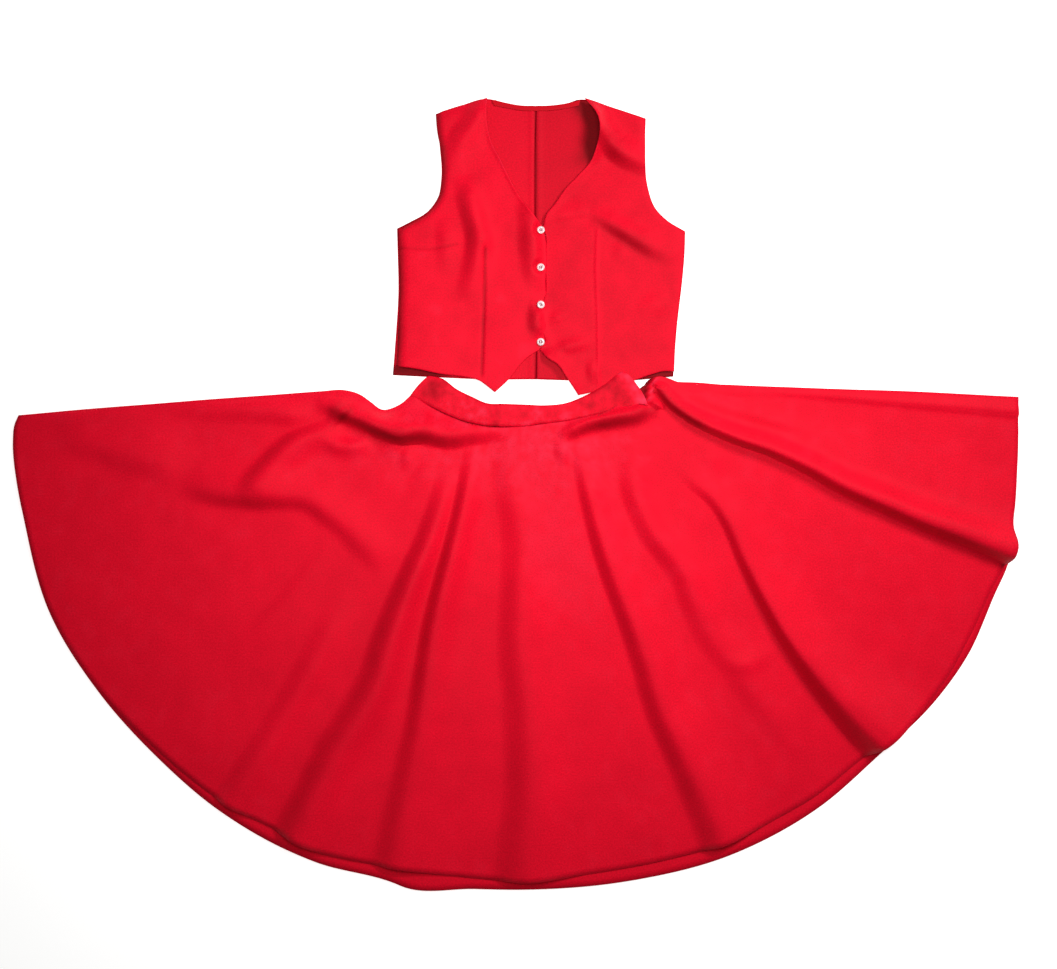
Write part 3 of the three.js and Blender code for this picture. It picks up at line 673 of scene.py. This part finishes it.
# painted shade and light on the waistband: darker towards its right end, a painted shadow at its left end
# where the vest's hem lies over it, a dark line across it, darker along its seam and its top edge, and a
# painted highlight on its turned right end
bandFront.crease -= 0.02 - 0.3 * eased((acrossBand - 0.62) / 0.3) * (1 - eased((acrossBand - 0.93) / 0.03))
bandFront.crease += 0.5 * np.exp(-((acrossBand - 0.07) / 0.06) ** 2 - ((upBand - 0.55) / 0.5) ** 2)
bandFront.crease += 0.3 * np.exp(-((acrossBand - 0.375) / 0.012) ** 2) * (1 - upBand)
bandFront.crease += (0.2 * np.exp(-(upBand / 0.07) ** 2)
                     + 0.25 * np.exp(-((upBand - 0.94) / 0.05) ** 2) * (acrossBand > 0.12))
bandFront.crease -= 0.35 * np.exp(-((acrossBand - 0.985) / 0.02) ** 2)
bandFront.blotch(0.36, 16, 2.9)
bandCloth = makeCloth("waistband_outer", bandFront, skirtCentre, band["thickness"], redSuiting)
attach(bandCloth, "skirt")
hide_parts("waistband_front")

bandThread = sewnLine("waistband_stitching", "band", bandFront, 3, slice(2, -2), skirtCentre)
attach(bandThread, "skirt")

backBand = {
    "seam": [(-146, -8), (-118, -28), (-77, -46), (-45, -53), (-4, -55), (52, -50), (118, -38), (170, -24),
             (189, -13)],
    "top": [(-124, 20), (-105, 16), (-84, 2), (-62, -10), (-41, -19), (-16, -21), (13, -22), (41, -22),
            (70, -19), (94, -10), (112, -2), (130, 8), (152, 20)],
    "leftEnd": [(-146, -8), (-136, 6), (-124, 20)],
    "rightEnd": [(189, -13), (184, 2), (172, 8), (152, 20)],
    "height": 2.6,
}
bandBack = Cloth(patch(backBand["seam"], backBand["top"], backBand["leftEnd"], backBand["rightEnd"], 160, 16),
                 backBand["height"])
bandBack.ripple(0.3, 25, 6.6)
bandBackCloth = makeCloth("waistband_inner", bandBack, skirtCentre, band["thickness"], redSuiting)
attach(bandBackCloth, "skirt")
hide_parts("waistband_back")


print("laying the vest")
vest = {
    "thickness": 1.1,
    "rightHeight": 3.4, "leftHeight": 3.3, "lowest": 3.1,
    "rightPuff": 5.2, "leftPuff": 1.6,      # the left front lies flatter: its edge folds back over it
    "topButton": 214, "buttonPitch": 52.8, "dimple": 9.5, "dimpleHeight": 4.4,
    "turnWidth": 0.012,                     # how far from its hinge a front edge would bend, in metres: the bend's span is worked out below but never applied
    "right centre": [(-2, 45), (4, 54), (6.8, 72), (6.8, 140), (6.8, 200), (3, 218)],
    "right neck": [(3, 218), (-9, 233), (-28, 257), (-44, 285), (-58, 314), (-69, 335), (-74, 352),
                   (-77, 381), (-76, 400)],
    "right shoulder": [(-76, 400), (-112, 391), (-149, 379)],
    "right armhole": [(-149, 379), (-147, 355), (-142, 328), (-140, 290), (-146, 260), (-160, 241),
                      (-183, 227), (-203, 217)],
    "right side": [(-203, 217), (-201, 175), (-200, 132), (-202, 70), (-204, 21)],
    "right hem": [(-65, -16), (-75, -8), (-86, 0), (-108, 6), (-141, 10), (-176, 17), (-204, 21)],
    "right notch": [(-2, 45), (-20, 33), (-34, 18), (-45, 3), (-65, -16)],
    "left centre": [(-2, 45), (6.4, 60), (3.5, 67), (0, 75), (-1.4, 102), (3, 112), (6.7, 125), (7.2, 150),
                    (7.2, 185), (6.6, 208), (3, 218)],
    "left neck": [(3, 218), (8, 236), (20, 251), (34, 271), (55, 293), (70, 310), (78, 329), (82, 349),
                  (80, 371), (72, 386), (62, 400)],
    "left shoulder": [(62, 400), (105, 387), (148, 373)],
    "left armhole": [(148, 373), (148, 340), (148, 302), (152, 274), (162, 246), (178, 229), (204, 213)],
    "left side": [(204, 213), (203, 180), (201, 155), (196, 110), (192, 75), (189, 14)],
    "left hem": [(53, -20), (80, -14), (105, -7), (132, 1), (158, 10), (173, 14), (189, 14)],
    "left notch": [(-2, 45), (9, 33), (23, 24), (37, 4), (53, -20)],
}


def frontGrid(side):
    # centre edge and neck on one side, armhole and side seam on the other, hem below, shoulder above
    near = joined((vest[f"{side} notch"], 34), (vest[f"{side} hem"], 66))
    far = smoothLine(vest[f"{side} shoulder"], 100)
    first = joined((vest[f"{side} centre"], 88), (vest[f"{side} neck"], 88))
    sideUp = list(reversed(vest[f"{side} side"]))
    armUp = list(reversed(vest[f"{side} armhole"]))
    last = joined((sideUp, 92), (armUp, 84))
    return gridBetween(near, far, first, last)


def shapeFront(cloth, side):
    outer = smoothLine(vest[f"{side} side"], 60)
    arm = smoothLine(vest[f"{side} armhole"], 60)
    shoulder = smoothLine(vest[f"{side} shoulder"], 30)
    centre = smoothLine(vest[f"{side} centre"], 60)
    neck = smoothLine(vest[f"{side} neck"], 60)
    puff = vest[f"{side}Puff"]
    cloth.height += puff * (1 - np.exp(-(cloth.nearEdge(outer) / 7) ** 2))
    cloth.height -= puff * 0.95 * np.exp(-(cloth.nearEdge(arm) / 6) ** 2)
    # painted shadow along the right front's side and armhole edges, and a faint painted highlight along the
    # left front's
    paintedEdgeShade = 0.85 if side == "right" else -0.1
    cloth.crease += paintedEdgeShade * np.exp(-(np.minimum(cloth.nearEdge(outer), cloth.nearEdge(arm)) / 5.5) ** 2)
    # a painted highlight along the centre edge and the neck
    cloth.crease -= 0.1 * np.exp(-(np.minimum(cloth.nearEdge(centre), cloth.nearEdge(neck)) / 2.5) ** 2)
    cloth.height -= puff * 0.58 * np.exp(-(cloth.nearEdge(shoulder) / 8) ** 2)
    cloth.height -= puff * 0.88 * np.exp(-(cloth.nearEdge(centre) / 24) ** 2)


rightFront = Cloth(frontGrid("right"), vest["rightHeight"])
shapeFront(rightFront, "right")
rightFolds = [
    {"line": [(-88, 402), (-98, 381), (-112, 359), (-122, 345), (-131, 321), (-134, 296)],
     "height": [4, 8, 9, 8, 4, 0], "steep": [11, 13, 11], "gentle": [14, 18], "crease": 0.1},
    {"line": [(-116, 290), (-112, 260), (-105, 231), (-99, 203), (-101, 175), (-108, 139), (-110, 105)],
     "height": [0, 9, 12, 12, 9, 5, 0], "steep": [12, 11, 13], "gentle": [14, 18], "crease": 0.2},
    {"line": [(-142, 236), (-143, 210), (-143, 190), (-142, 150)],
     "height": [0, 4, 3, 0], "steep": 9, "gentle": 14},
    {"line": [(-30, 262), (-24, 229), (-23, 203), (-21, 175), (-16, 146), (-6, 124)],
     "height": [0, 8, 11, 10, 7, 0], "steep": [12, 13, 11], "gentle": [11, 10], "crease": 0.25},
    {"line": [(-6, 122), (-9, 112), (-13, 97), (-12, 75), (-6, 58)],
     "height": [0, 5, 8, 7, 0], "steep": 9, "gentle": 8, "crease": 0.4},
    {"line": [(-66, 342), (-50, 310), (-38, 282), (-20, 256)],
     "height": [0, 3, 3, 0], "steep": 9, "gentle": 12},
]
for fold in rightFolds:
    rightFront.fold(**fold)
rightFront.seam([(-78, 192), (-80, 115), (-82, 61), (-84, 3)], 2.0, 2.2, 0.55)
rightFront.seam([(-202, 188), (-150, 187), (-115, 194)], 0.8, 2.0, 0.25)
rightFront.swell((-76, 200), (13, 16), 2.6)
rightFront.swell((-165, 100), (34, 90), 2.0)
rightFront.swell((-186, 24), (38, 16), 3.5)
rightFront.swell((-45, 75), (34, 50), 1.4)
rightFront.ripple(1.0, 46, 2.2)
rightFront.ripple(0.35, 17, 7.7)
rightFront.height += 1.6 * np.exp(-(rightFront.nearEdge(smoothLine(vest["right neck"], 80)) / 3.5) ** 2)

leftFront = Cloth(frontGrid("left"), vest["leftHeight"])
shapeFront(leftFront, "left")
leftFolds = [
    {"line": [(72, 352), (84, 343), (98, 324), (119, 309), (143, 300), (165, 294)],
     "height": [10, 15, 16, 13, 8, 2], "steep": [8, 9, 10, 9], "gentle": [14, 22], "roll": 0.2,
     "crease": 0.25},
    {"line": [(66, 231), (80, 226), (105, 211), (133, 193), (160, 178), (190, 165)],
     "height": [0, 6, 9, 8, 4, 0], "steep": [7, 9, 9], "gentle": [12, 20], "crease": 0.45},
    {"line": [(2, 219), (27, 228), (50, 232), (84, 233)], "height": [0, 3, 3, 0], "steep": 6, "gentle": 14},
    {"line": [(20, 34), (34, 40), (52, 45), (76, 48)], "height": [0, 4.5, 4, 0], "steep": 7, "gentle": 9},
    {"line": [(14, 74), (26, 84), (40, 90)], "height": [0, 3, 0], "steep": 6, "gentle": 9},
    {"line": [(68, 34), (67, 14), (69, -6)], "height": [0, 5, 0], "steep": 6, "gentle": 8},
    {"line": [(146, 84), (164, 96), (190, 108)], "height": [0, 4, 0], "steep": 11, "gentle": 16},
    {"line": [(100, 196), (106, 180), (102, 168)], "height": [0, 2.5, 0], "steep": 8, "gentle": 10},
]
for fold in leftFolds:
    leftFront.fold(**fold)
# the left front's dart stands as a ridge, with a painted highlight along it
leftFront.seam([(81, 219), (79, 168), (81, 97), (82, -12)], -1.6, 3.0, -0.16)
leftFront.seam([(77, 214), (75, 168), (77, 97), (78, -12)], 0.6, 1.6, 0)
leftFront.swell((80, 214), (16, 14), 1.4)
leftFront.swell((150, 60), (36, 70), 1.6)
leftFront.swell((40, 110), (30, 60), 1.4)
leftFront.ripple(0.6, 46, 4.4)
leftFront.ripple(0.35, 17, 9.1)
# painted shade over both fronts, more over the left
leftFront.crease += 0.17
rightFront.crease += 0.05
leftFront.blotch(0.12, 30, 8.2)
rightFront.blotch(0.12, 30, 3.7)
# the neck edge stands up towards the shoulder
neckEdge = smoothLine(vest["left neck"], 80)
aside, along = besideLine(leftFront.grid, neckEdge, 60)
standing = eased((along - 0.52) / 0.2) * (1 - 0.8 * eased((along - 0.86) / 0.14))
leftFront.height += 15 * np.exp(-(np.abs(aside) / 13) ** 2) * standing
leftFront.height += 2.6 * np.exp(-(np.abs(aside) / 7) ** 2)
# the lip between the two lower buttons, and the notch's free edge
lip = smoothLine([(6, 50), (6.4, 60), (3.5, 67), (0, 75), (-1.4, 102), (3, 112), (7, 122)], 50)
aside, along = besideLine(leftFront.grid, lip, 40)
leftFront.height += 3.4 * np.exp(-(np.abs(aside) / 9) ** 2) * np.sin(np.pi * np.clip(along, 0, 1)) ** 0.5
notch = smoothLine(vest["left notch"], 40)
aside, along = besideLine(leftFront.grid, notch, 40)
standing = eased(along / 0.2) * (1 - 0.7 * eased((along - 0.75) / 0.25))
leftFront.height += 7 * np.exp(-(np.abs(aside) / 13) ** 2) * standing

# each button draws the cloth down around it
for cloth in (rightFront, leftFront):
    for number in range(4):
        buttonAt = vest["topButton"] - vest["buttonPitch"] * number
        fromButton = np.hypot(cloth.grid[..., 0], cloth.grid[..., 1] - buttonAt)
        held = np.exp(-(fromButton / vest["dimple"]) ** 4)
        cloth.height = cloth.height * (1 - held) + np.minimum(cloth.height, vest["dimpleHeight"]) * held
    cloth.height = np.maximum(cloth.height, vest["lowest"])

lining = {
    "thickness": 0.45, "below": 1.25,                               # below: how far under the front it lies
    "facingRows": slice(1, 176), "facingColumns": slice(0, 15),     # along the closure and the V neck
    "tapeRows": slice(94, 176), "tapeColumns": slice(91, 101),      # along the armhole
}
vestPieces = [
    ("vest_front_panel_right", rightFront, "right_edge", "right", True),
    ("vest_front_panel_left", leftFront, "left_edge", "left", False),
]
for name, cloth, body, side, flip in vestPieces:
    panel = makeCloth(name, cloth, vestCentre, vest["thickness"], redSuiting, flip)
    low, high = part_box(f"vest_front_{side}_edge")
    turnAt = high.x if side == "left" else low.x
    reach = vest["turnWidth"] if side == "left" else -vest["turnWidth"]
    bend = {"start": (turnAt + reach, 0, 0), "end": (turnAt - reach, 0, 0)}
    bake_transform(panel)
    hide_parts(f"vest_front_{side}", f"vest_front_{side}_edge")
    strip = underStrip(cloth, lining["facingRows"], lining["facingColumns"], lining["below"])
    facing = makeCloth(f"front_facing_lining_{side}", strip, vestCentre, lining["thickness"], redTwillTape,
                       flip)
    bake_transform(facing)
    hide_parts(f"front_facing_{side}")
    strip = underStrip(cloth, lining["tapeRows"], lining["tapeColumns"], lining["below"])
    binding = makeCloth(f"armhole_tape_{side}", strip, vestCentre, lining["thickness"], redTwillTape, flip)
    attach(binding, "vest")
    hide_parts(f"armhole_binding_{side}")

vestBack = {
    "right": {
        "centre": [(-7, 3), (-6, 100), (-8, 200), (-9, 300), (-7, 391)],
        "top": [(-7, 391), (-30, 392), (-52, 396), (-68, 400), (-76, 401), (-112, 392), (-149, 379)],
        "outer": [(-210, 9), (-206, 60), (-202, 132), (-203, 180), (-204, 217)],
        "armhole": [(-204, 217), (-184, 226), (-161, 239), (-147, 258), (-141, 290), (-143, 330), (-149, 379)],
        "hem": [(-7, 3), (-80, 3), (-150, 6), (-210, 9)],
    },
    "left": {
        "centre": [(-7, 3), (-6, 100), (-8, 200), (-9, 300), (-7, 391)],
        "top": [(-7, 391), (16, 392), (38, 395), (54, 400), (64, 400), (106, 387), (149, 373)],
        "outer": [(188, 7), (193, 75), (202, 155), (204, 180), (205, 213)],
        "armhole": [(205, 213), (178, 229), (162, 246), (152, 274), (148, 302), (148, 340), (149, 373)],
        "hem": [(-7, 3), (60, 1), (120, 1), (188, 7)],
    },
}
for side, flip in (("right", True), ("left", False)):
    lines = vestBack[side]
    grid = gridBetween(smoothLine(lines["hem"], 70), smoothLine(lines["top"], 70),
                       smoothLine(lines["centre"], 120), joined((lines["outer"], 66), (lines["armhole"], 54)))
    cloth = Cloth(grid, 1.2)
    fromCentre = np.abs(grid[..., 0] + 7.5)
    cloth.height += 0.9 * np.exp(-((fromCentre - 5) / 4) ** 2) - 0.5 * np.exp(-(fromCentre / 1.6) ** 2)
    # painted shade: a dark line down the centre back seam, and both back panels darker all over, the left one
    # more
    cloth.crease += 0.75 * np.exp(-(fromCentre / 1.8) ** 2) + (0.34 if side == "left" else 0.18)
    if side == "left":      # shade under the standing neck edge, and in the gap between the two hems
        underNeck = np.abs(besideLine(grid, smoothLine(vest["left neck"], 60), 60)[0])
        hollow = eased((grid[..., 1] - 296) / 40) * (grid[..., 0] < 90)
        cloth.crease += 1.3 * np.exp(-(underNeck / 17) ** 2) * hollow
        cloth.crease += eased((grid[..., 0] - 100) / 40) * eased((26 - grid[..., 1]) / 8)
    else:
        # painted shade in the gap between the two hems
        cloth.crease += eased((-110 - grid[..., 0]) / 50) * eased((26 - grid[..., 1]) / 8)
    cloth.ripple(0.15, 30, 3.3)
    cloth.height = np.clip(cloth.height, 1.12, 2.2)
    panel = makeCloth(f"vest_back_panel_{side}", cloth, vestCentre, vest["thickness"], redSuiting, flip)
    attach(panel, "vest")
    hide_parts(f"vest_back_{side}")


neckTape = {
    "upper": [(-70, 399), (-52, 395.6), (-30, 391.6), (-7, 390.6), (16, 391.6), (38, 394.8), (56, 399)],
    "lower": [(-66, 391), (-50, 388), (-30, 384.4), (-7, 383.4), (16, 384.4), (38, 387.4), (54, 391)],
}
neckStrip = Cloth(patch(neckTape["lower"], neckTape["upper"], [(-66, 391), (-70, 399)],
                        [(54, 391), (56, 399)], 90, 8), 2.4)
neckStrip.height += 0.5 * np.sin(np.pi * np.linspace(0, 1, 9))[:, None]
neckStrip.ripple(0.12, 14, 4.9)
neckBinding = makeCloth("back_neck_tape", neckStrip, vestCentre, 0.9, redTwillTape)
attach(neckBinding, "vest")
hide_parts("back_neck_binding")
neckThread = sewnLine("back_neck_stitching", "neck", neckStrip, 1, slice(1, -1), vestCentre)
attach(neckThread, "vest")

print("sewing on the buttons")
button = {
    "radius": 5.4, "height": 2.2, "above": 0.9,         # above: from the foot of its thread to the button
    "dish": 2.9, "dishDepth": 0.6, "holes": 1.3, "holeRadius": 0.78,
    "thread": 0.42, "loopThread": 0.55, "slants": (7, -5, 8, -6),
}


def turned(mesh, profile, steps):
    # a round solid from a profile of (radius, height) points, closed at its middle
    shape = bmesh.new()
    rings = []
    for radius, high in profile:
        if radius == 0:
            rings.append([shape.verts.new((0, 0, high))])
        else:
            turns = [2 * math.pi * k / steps for k in range(steps)]
            rings.append([shape.verts.new((radius * math.cos(a), radius * math.sin(a), high)) for a in turns])
    for inner, outer in zip(rings[:-1], rings[1:]):
        for k in range(steps):
            corners = [inner[k % len(inner)], outer[k % len(outer)], outer[(k + 1) % len(outer)],
                       inner[(k + 1) % len(inner)]]
            shape.faces.new(list(dict.fromkeys(corners)))
    shape.transform(Matrix.Scale(millimetre, 4))
    bmesh.ops.recalc_face_normals(shape, faces=shape.faces)
    shape.to_mesh(mesh)
    shape.free()


r, h = button["radius"], button["height"]
turnedProfile = ([(0, 0), (r * 0.6, 0.02)]
                 + [(r * (0.62 + 0.38 * math.sin(a) ** 1.4), h * (0.5 - 0.5 * math.cos(a)))
                    for a in np.linspace(0.15, math.pi - 0.1, 15)]
                 + [(button["dish"] + 0.3, h - 0.02), (button["dish"], h - 0.1)]
                 + [(button["dish"] - 1.5 * t, h - 0.12 - (button["dishDepth"] - 0.12) * t * t * (3 - 2 * t))
                    for t in (0.25, 0.5, 0.75, 1)]
                 + [(0, h - button["dishDepth"])])
buttonMesh = bpy.data.meshes.new("button")
turned(buttonMesh, turnedProfile, 72)
cutMesh = bpy.data.meshes.new("hole")
turned(cutMesh, [(0, -1), (button["holeRadius"], -1), (button["holeRadius"], h + 1), (0, h + 1)], 24)
holePlaces = [(x * button["holes"], y * button["holes"]) for x in (-1, 1) for y in (-1, 1)]
blank = bpy.data.objects.new("button_blank", buttonMesh)
bpy.context.scene.collection.objects.link(blank)
for x, y in holePlaces:
    drill = bpy.data.objects.new("drill", cutMesh)
    drill.location = (x * millimetre, y * millimetre, 0)
    bpy.context.scene.collection.objects.link(drill)
    cut = blank.modifiers.new("hole", "BOOLEAN")
    cut.operation, cut.solver, cut.object = "DIFFERENCE", "EXACT", drill
settle(blank)
for piece in [o for o in bpy.data.objects if o.name.startswith("drill")]:
    bpy.data.objects.remove(piece)

for number in range(1, 5):
    low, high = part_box(f"button_{number}")
    x, y, z = [(low[i] + high[i]) / 2 / millimetre for i in (0, 1)] + [low.z / millimetre]
    pearlButton = blank.copy()
    pearlButton.data = blank.data.copy()
    pearlButton.name = f"pearl_button_{number}"
    # each one was sewn on at its own slant
    slant = (Matrix.Rotation(math.radians(button["slants"][number - 1]), 4, "Y")
             @ Matrix.Rotation(math.radians(3 * number - 9), 4, "X"))
    pearlButton.data.transform(Matrix.Translation(Vector((x, y, z + button["above"])) * millimetre) @ slant)
    pearlButton.data.polygons.foreach_set("use_smooth", [True] * len(pearlButton.data.polygons))
    pearlButton.data.set_sharp_from_angle(angle=math.radians(40))
    pearlButton.data.materials.clear()
    pearlButton.data.materials.append(pearl)
    bpy.context.scene.collection.objects.link(pearlButton)
    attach(pearlButton, f"button_{number}")
    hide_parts(f"button_{number}")

    dishFloor = h - button["dishDepth"] + button["above"]
    reach = button["holes"]
    runs = []
    for side in (-reach, reach):
        for shift in (-0.28, 0.28):
            runs.append([(side + shift, a, b) for a, b in
                         [(-reach, -0.6), (-reach, dishFloor - 0.1), (-reach * 0.7, dishFloor + 0.38),
                          (0, dishFloor + 0.5),
                          (reach * 0.7, dishFloor + 0.38), (reach, dishFloor - 0.1), (reach, -0.6)]])
    # the shank: the same thread wound round under the button
    wound = [(1.5 * math.cos(t * 1.7), 1.5 * math.sin(t * 1.7), -1.1 + 1.9 * t / 22)
             for t in np.linspace(0, 22, 90)]
    runs.append(wound)
    runs = [[(x + a, y + b, z + c) for a, b, c in run] for run in runs]
    buttonThread = thread(f"button_stitches_{number}", runs, button["thread"], shadedThread, 2)
    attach(buttonThread, f"button_{number}")
    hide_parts(f"button_thread_{number}")

    low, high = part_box(f"button_loop_{number}")
    loopRadius = (high.y - low.y) / 2 / millimetre - button["loopThread"] - 0.05
    loopZ = (low.z + high.z) / 2 / millimetre
    bend = [(x - loopRadius * math.sin(a), y + loopRadius * math.cos(a), loopZ - 0.1)
            for a in np.linspace(0, math.pi, 40)]
    end = high.x / millimetre - 0.2
    loopRun = [(end, y + loopRadius, loopZ - 0.25)] + bend + [(end, y - loopRadius, loopZ - 0.25)]
    loopCord = thread(f"loop_cord_{number}", [loopRun], button["loopThread"], redThread, 3)
    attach(loopCord, "left_edge")
    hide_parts(f"button_loop_{number}")
bpy.data.objects.remove(blank)

print("laying the zip")
sideZip = {"pitch": 1.5, "wire": 0.24, "tapeThickness": 0.5, "slope": -0.02729}
for side in ("front", "back"):
    low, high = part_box(f"zip_tape_{side}")
    low, high = low / millimetre, high / millimetre
    drop = (high.x - low.x) * sideZip["slope"]       # the tape follows the slant of the side seam
    foot, top = low.y - drop, high.y
    grid = patch([(low.x, foot), (high.x, low.y)], [(low.x, top), (high.x, top + drop)],
                 [(low.x, foot), (low.x, top)], [(high.x, low.y), (high.x, top + drop)], 150, 12)
    tape = Cloth(grid, high.z)
    zipTape = makeCloth(f"zip_ribbon_{side}", tape, (0, 0), sideZip["tapeThickness"], redTwillTape)
    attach(zipTape, "skirt")
    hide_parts(f"zip_tape_{side}")
    low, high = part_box(f"zip_teeth_{side}")
    low, high = low / millimetre, high / millimetre
    turns = (high.x - low.x) / sideZip["pitch"]
    drop = (high.x - low.x) * sideZip["slope"]
    wide, tall = (high.y - low.y + drop) / 2 - sideZip["wire"], (high.z - low.z) / 2 - sideZip["wire"]
    t = np.linspace(0, turns, int(turns * 16))
    middle = (low + high) / 2
    coil = np.column_stack([low.x + sideZip["wire"] + t * sideZip["pitch"] * (1 - 0.4 / turns),
                            middle.y + drop * (t / turns - 0.5) + wide * np.sin(2 * np.pi * t),
                            middle.z + tall * np.cos(2 * np.pi * t)])
    zipCoil = thread(f"zip_coil_{side}", [coil.tolist()], sideZip["wire"], redNylon, 2)
    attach(zipCoil, "skirt")
    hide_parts(f"zip_teeth_{side}")

print("setting the camera and lights")
studio = {"cameraHeight": 1.9, "frameWidth": 1.50094, "over": (0.01775, 0.0142),
          "ambient": 0.185, "floorGlow": 0.62, "floorHalf": 40, "floorDrop": 0.0003}
camera = bpy.data.objects.new("camera", bpy.data.cameras.new("camera"))
camera.location = (*studio["over"], studio["cameraHeight"])
camera.data.sensor_width = 36
camera.data.lens = camera.data.sensor_width * studio["cameraHeight"] / studio["frameWidth"]
bpy.context.scene.collection.objects.link(camera)
bpy.context.scene.camera = camera

lights = {
    "window light": {"kind": "AREA", "at": (1.25, 1.0, 1.45), "towards": (0.0, 0.1, 0), "size": 0.5,
                     "watts": 26, "colour": "#ffffff"},
    "ceiling light": {"kind": "SPOT", "at": (0.05, 0.2, 1.35), "towards": (0.02, 0.12, 0), "size": 0.3,
                      "cone": 80, "watts": 52, "colour": "#ffffff"},
}
for name, light in lights.items():
    lamp = bpy.data.lights.new(name, light["kind"])
    if light["kind"] == "AREA":
        lamp.size = light["size"]
    else:
        lamp.shadow_soft_size = light["size"]
        lamp.spot_size = math.radians(light["cone"])
        lamp.spot_blend = 1
    lamp.energy = light["watts"]
    lamp.color = linearColour(light["colour"])[:3]
    place = bpy.data.objects.new(name, lamp)
    place.location = light["at"]
    aim = Vector(light["towards"]) - Vector(light["at"])
    place.rotation_mode = "QUATERNION"
    place.rotation_quaternion = aim.to_track_quat("-Z", "Y")
    bpy.context.scene.collection.objects.link(place)

world = bpy.data.worlds.new("studio")
bpy.context.scene.world = world
world.use_nodes = True
background = world.node_tree.nodes["Background"]
background.inputs["Color"].default_value = linearColour("#ffffff")
background.inputs["Strength"].default_value = studio["ambient"]
bpy.context.scene.view_settings.view_transform = "Standard"

floorMesh = bpy.data.meshes.new("floor")
half = studio["floorHalf"]
floorMesh.from_pydata([(-half, -half, 0), (half, -half, 0), (half, half, 0), (-half, half, 0)],
                      [], [(0, 1, 2, 3)])
floor = bpy.data.objects.new("floor", floorMesh)
floor.location.z = -studio["floorDrop"]
bpy.context.scene.collection.objects.link(floor)
floorMesh.materials.append(plainFinish("matt white board", "#f7f6f4", 0.9, 0.02, (0.995, 1.0),
                                       {"Specular IOR Level": 0.1, "Emission Color": linearColour("#ffffff"),
                                        "Emission Strength": studio["floorGlow"]}))

for name, node in frame["nodes"].items():
    if not node.hide_render:
        node.data.materials.clear()
        node.data.materials.append(nickel)
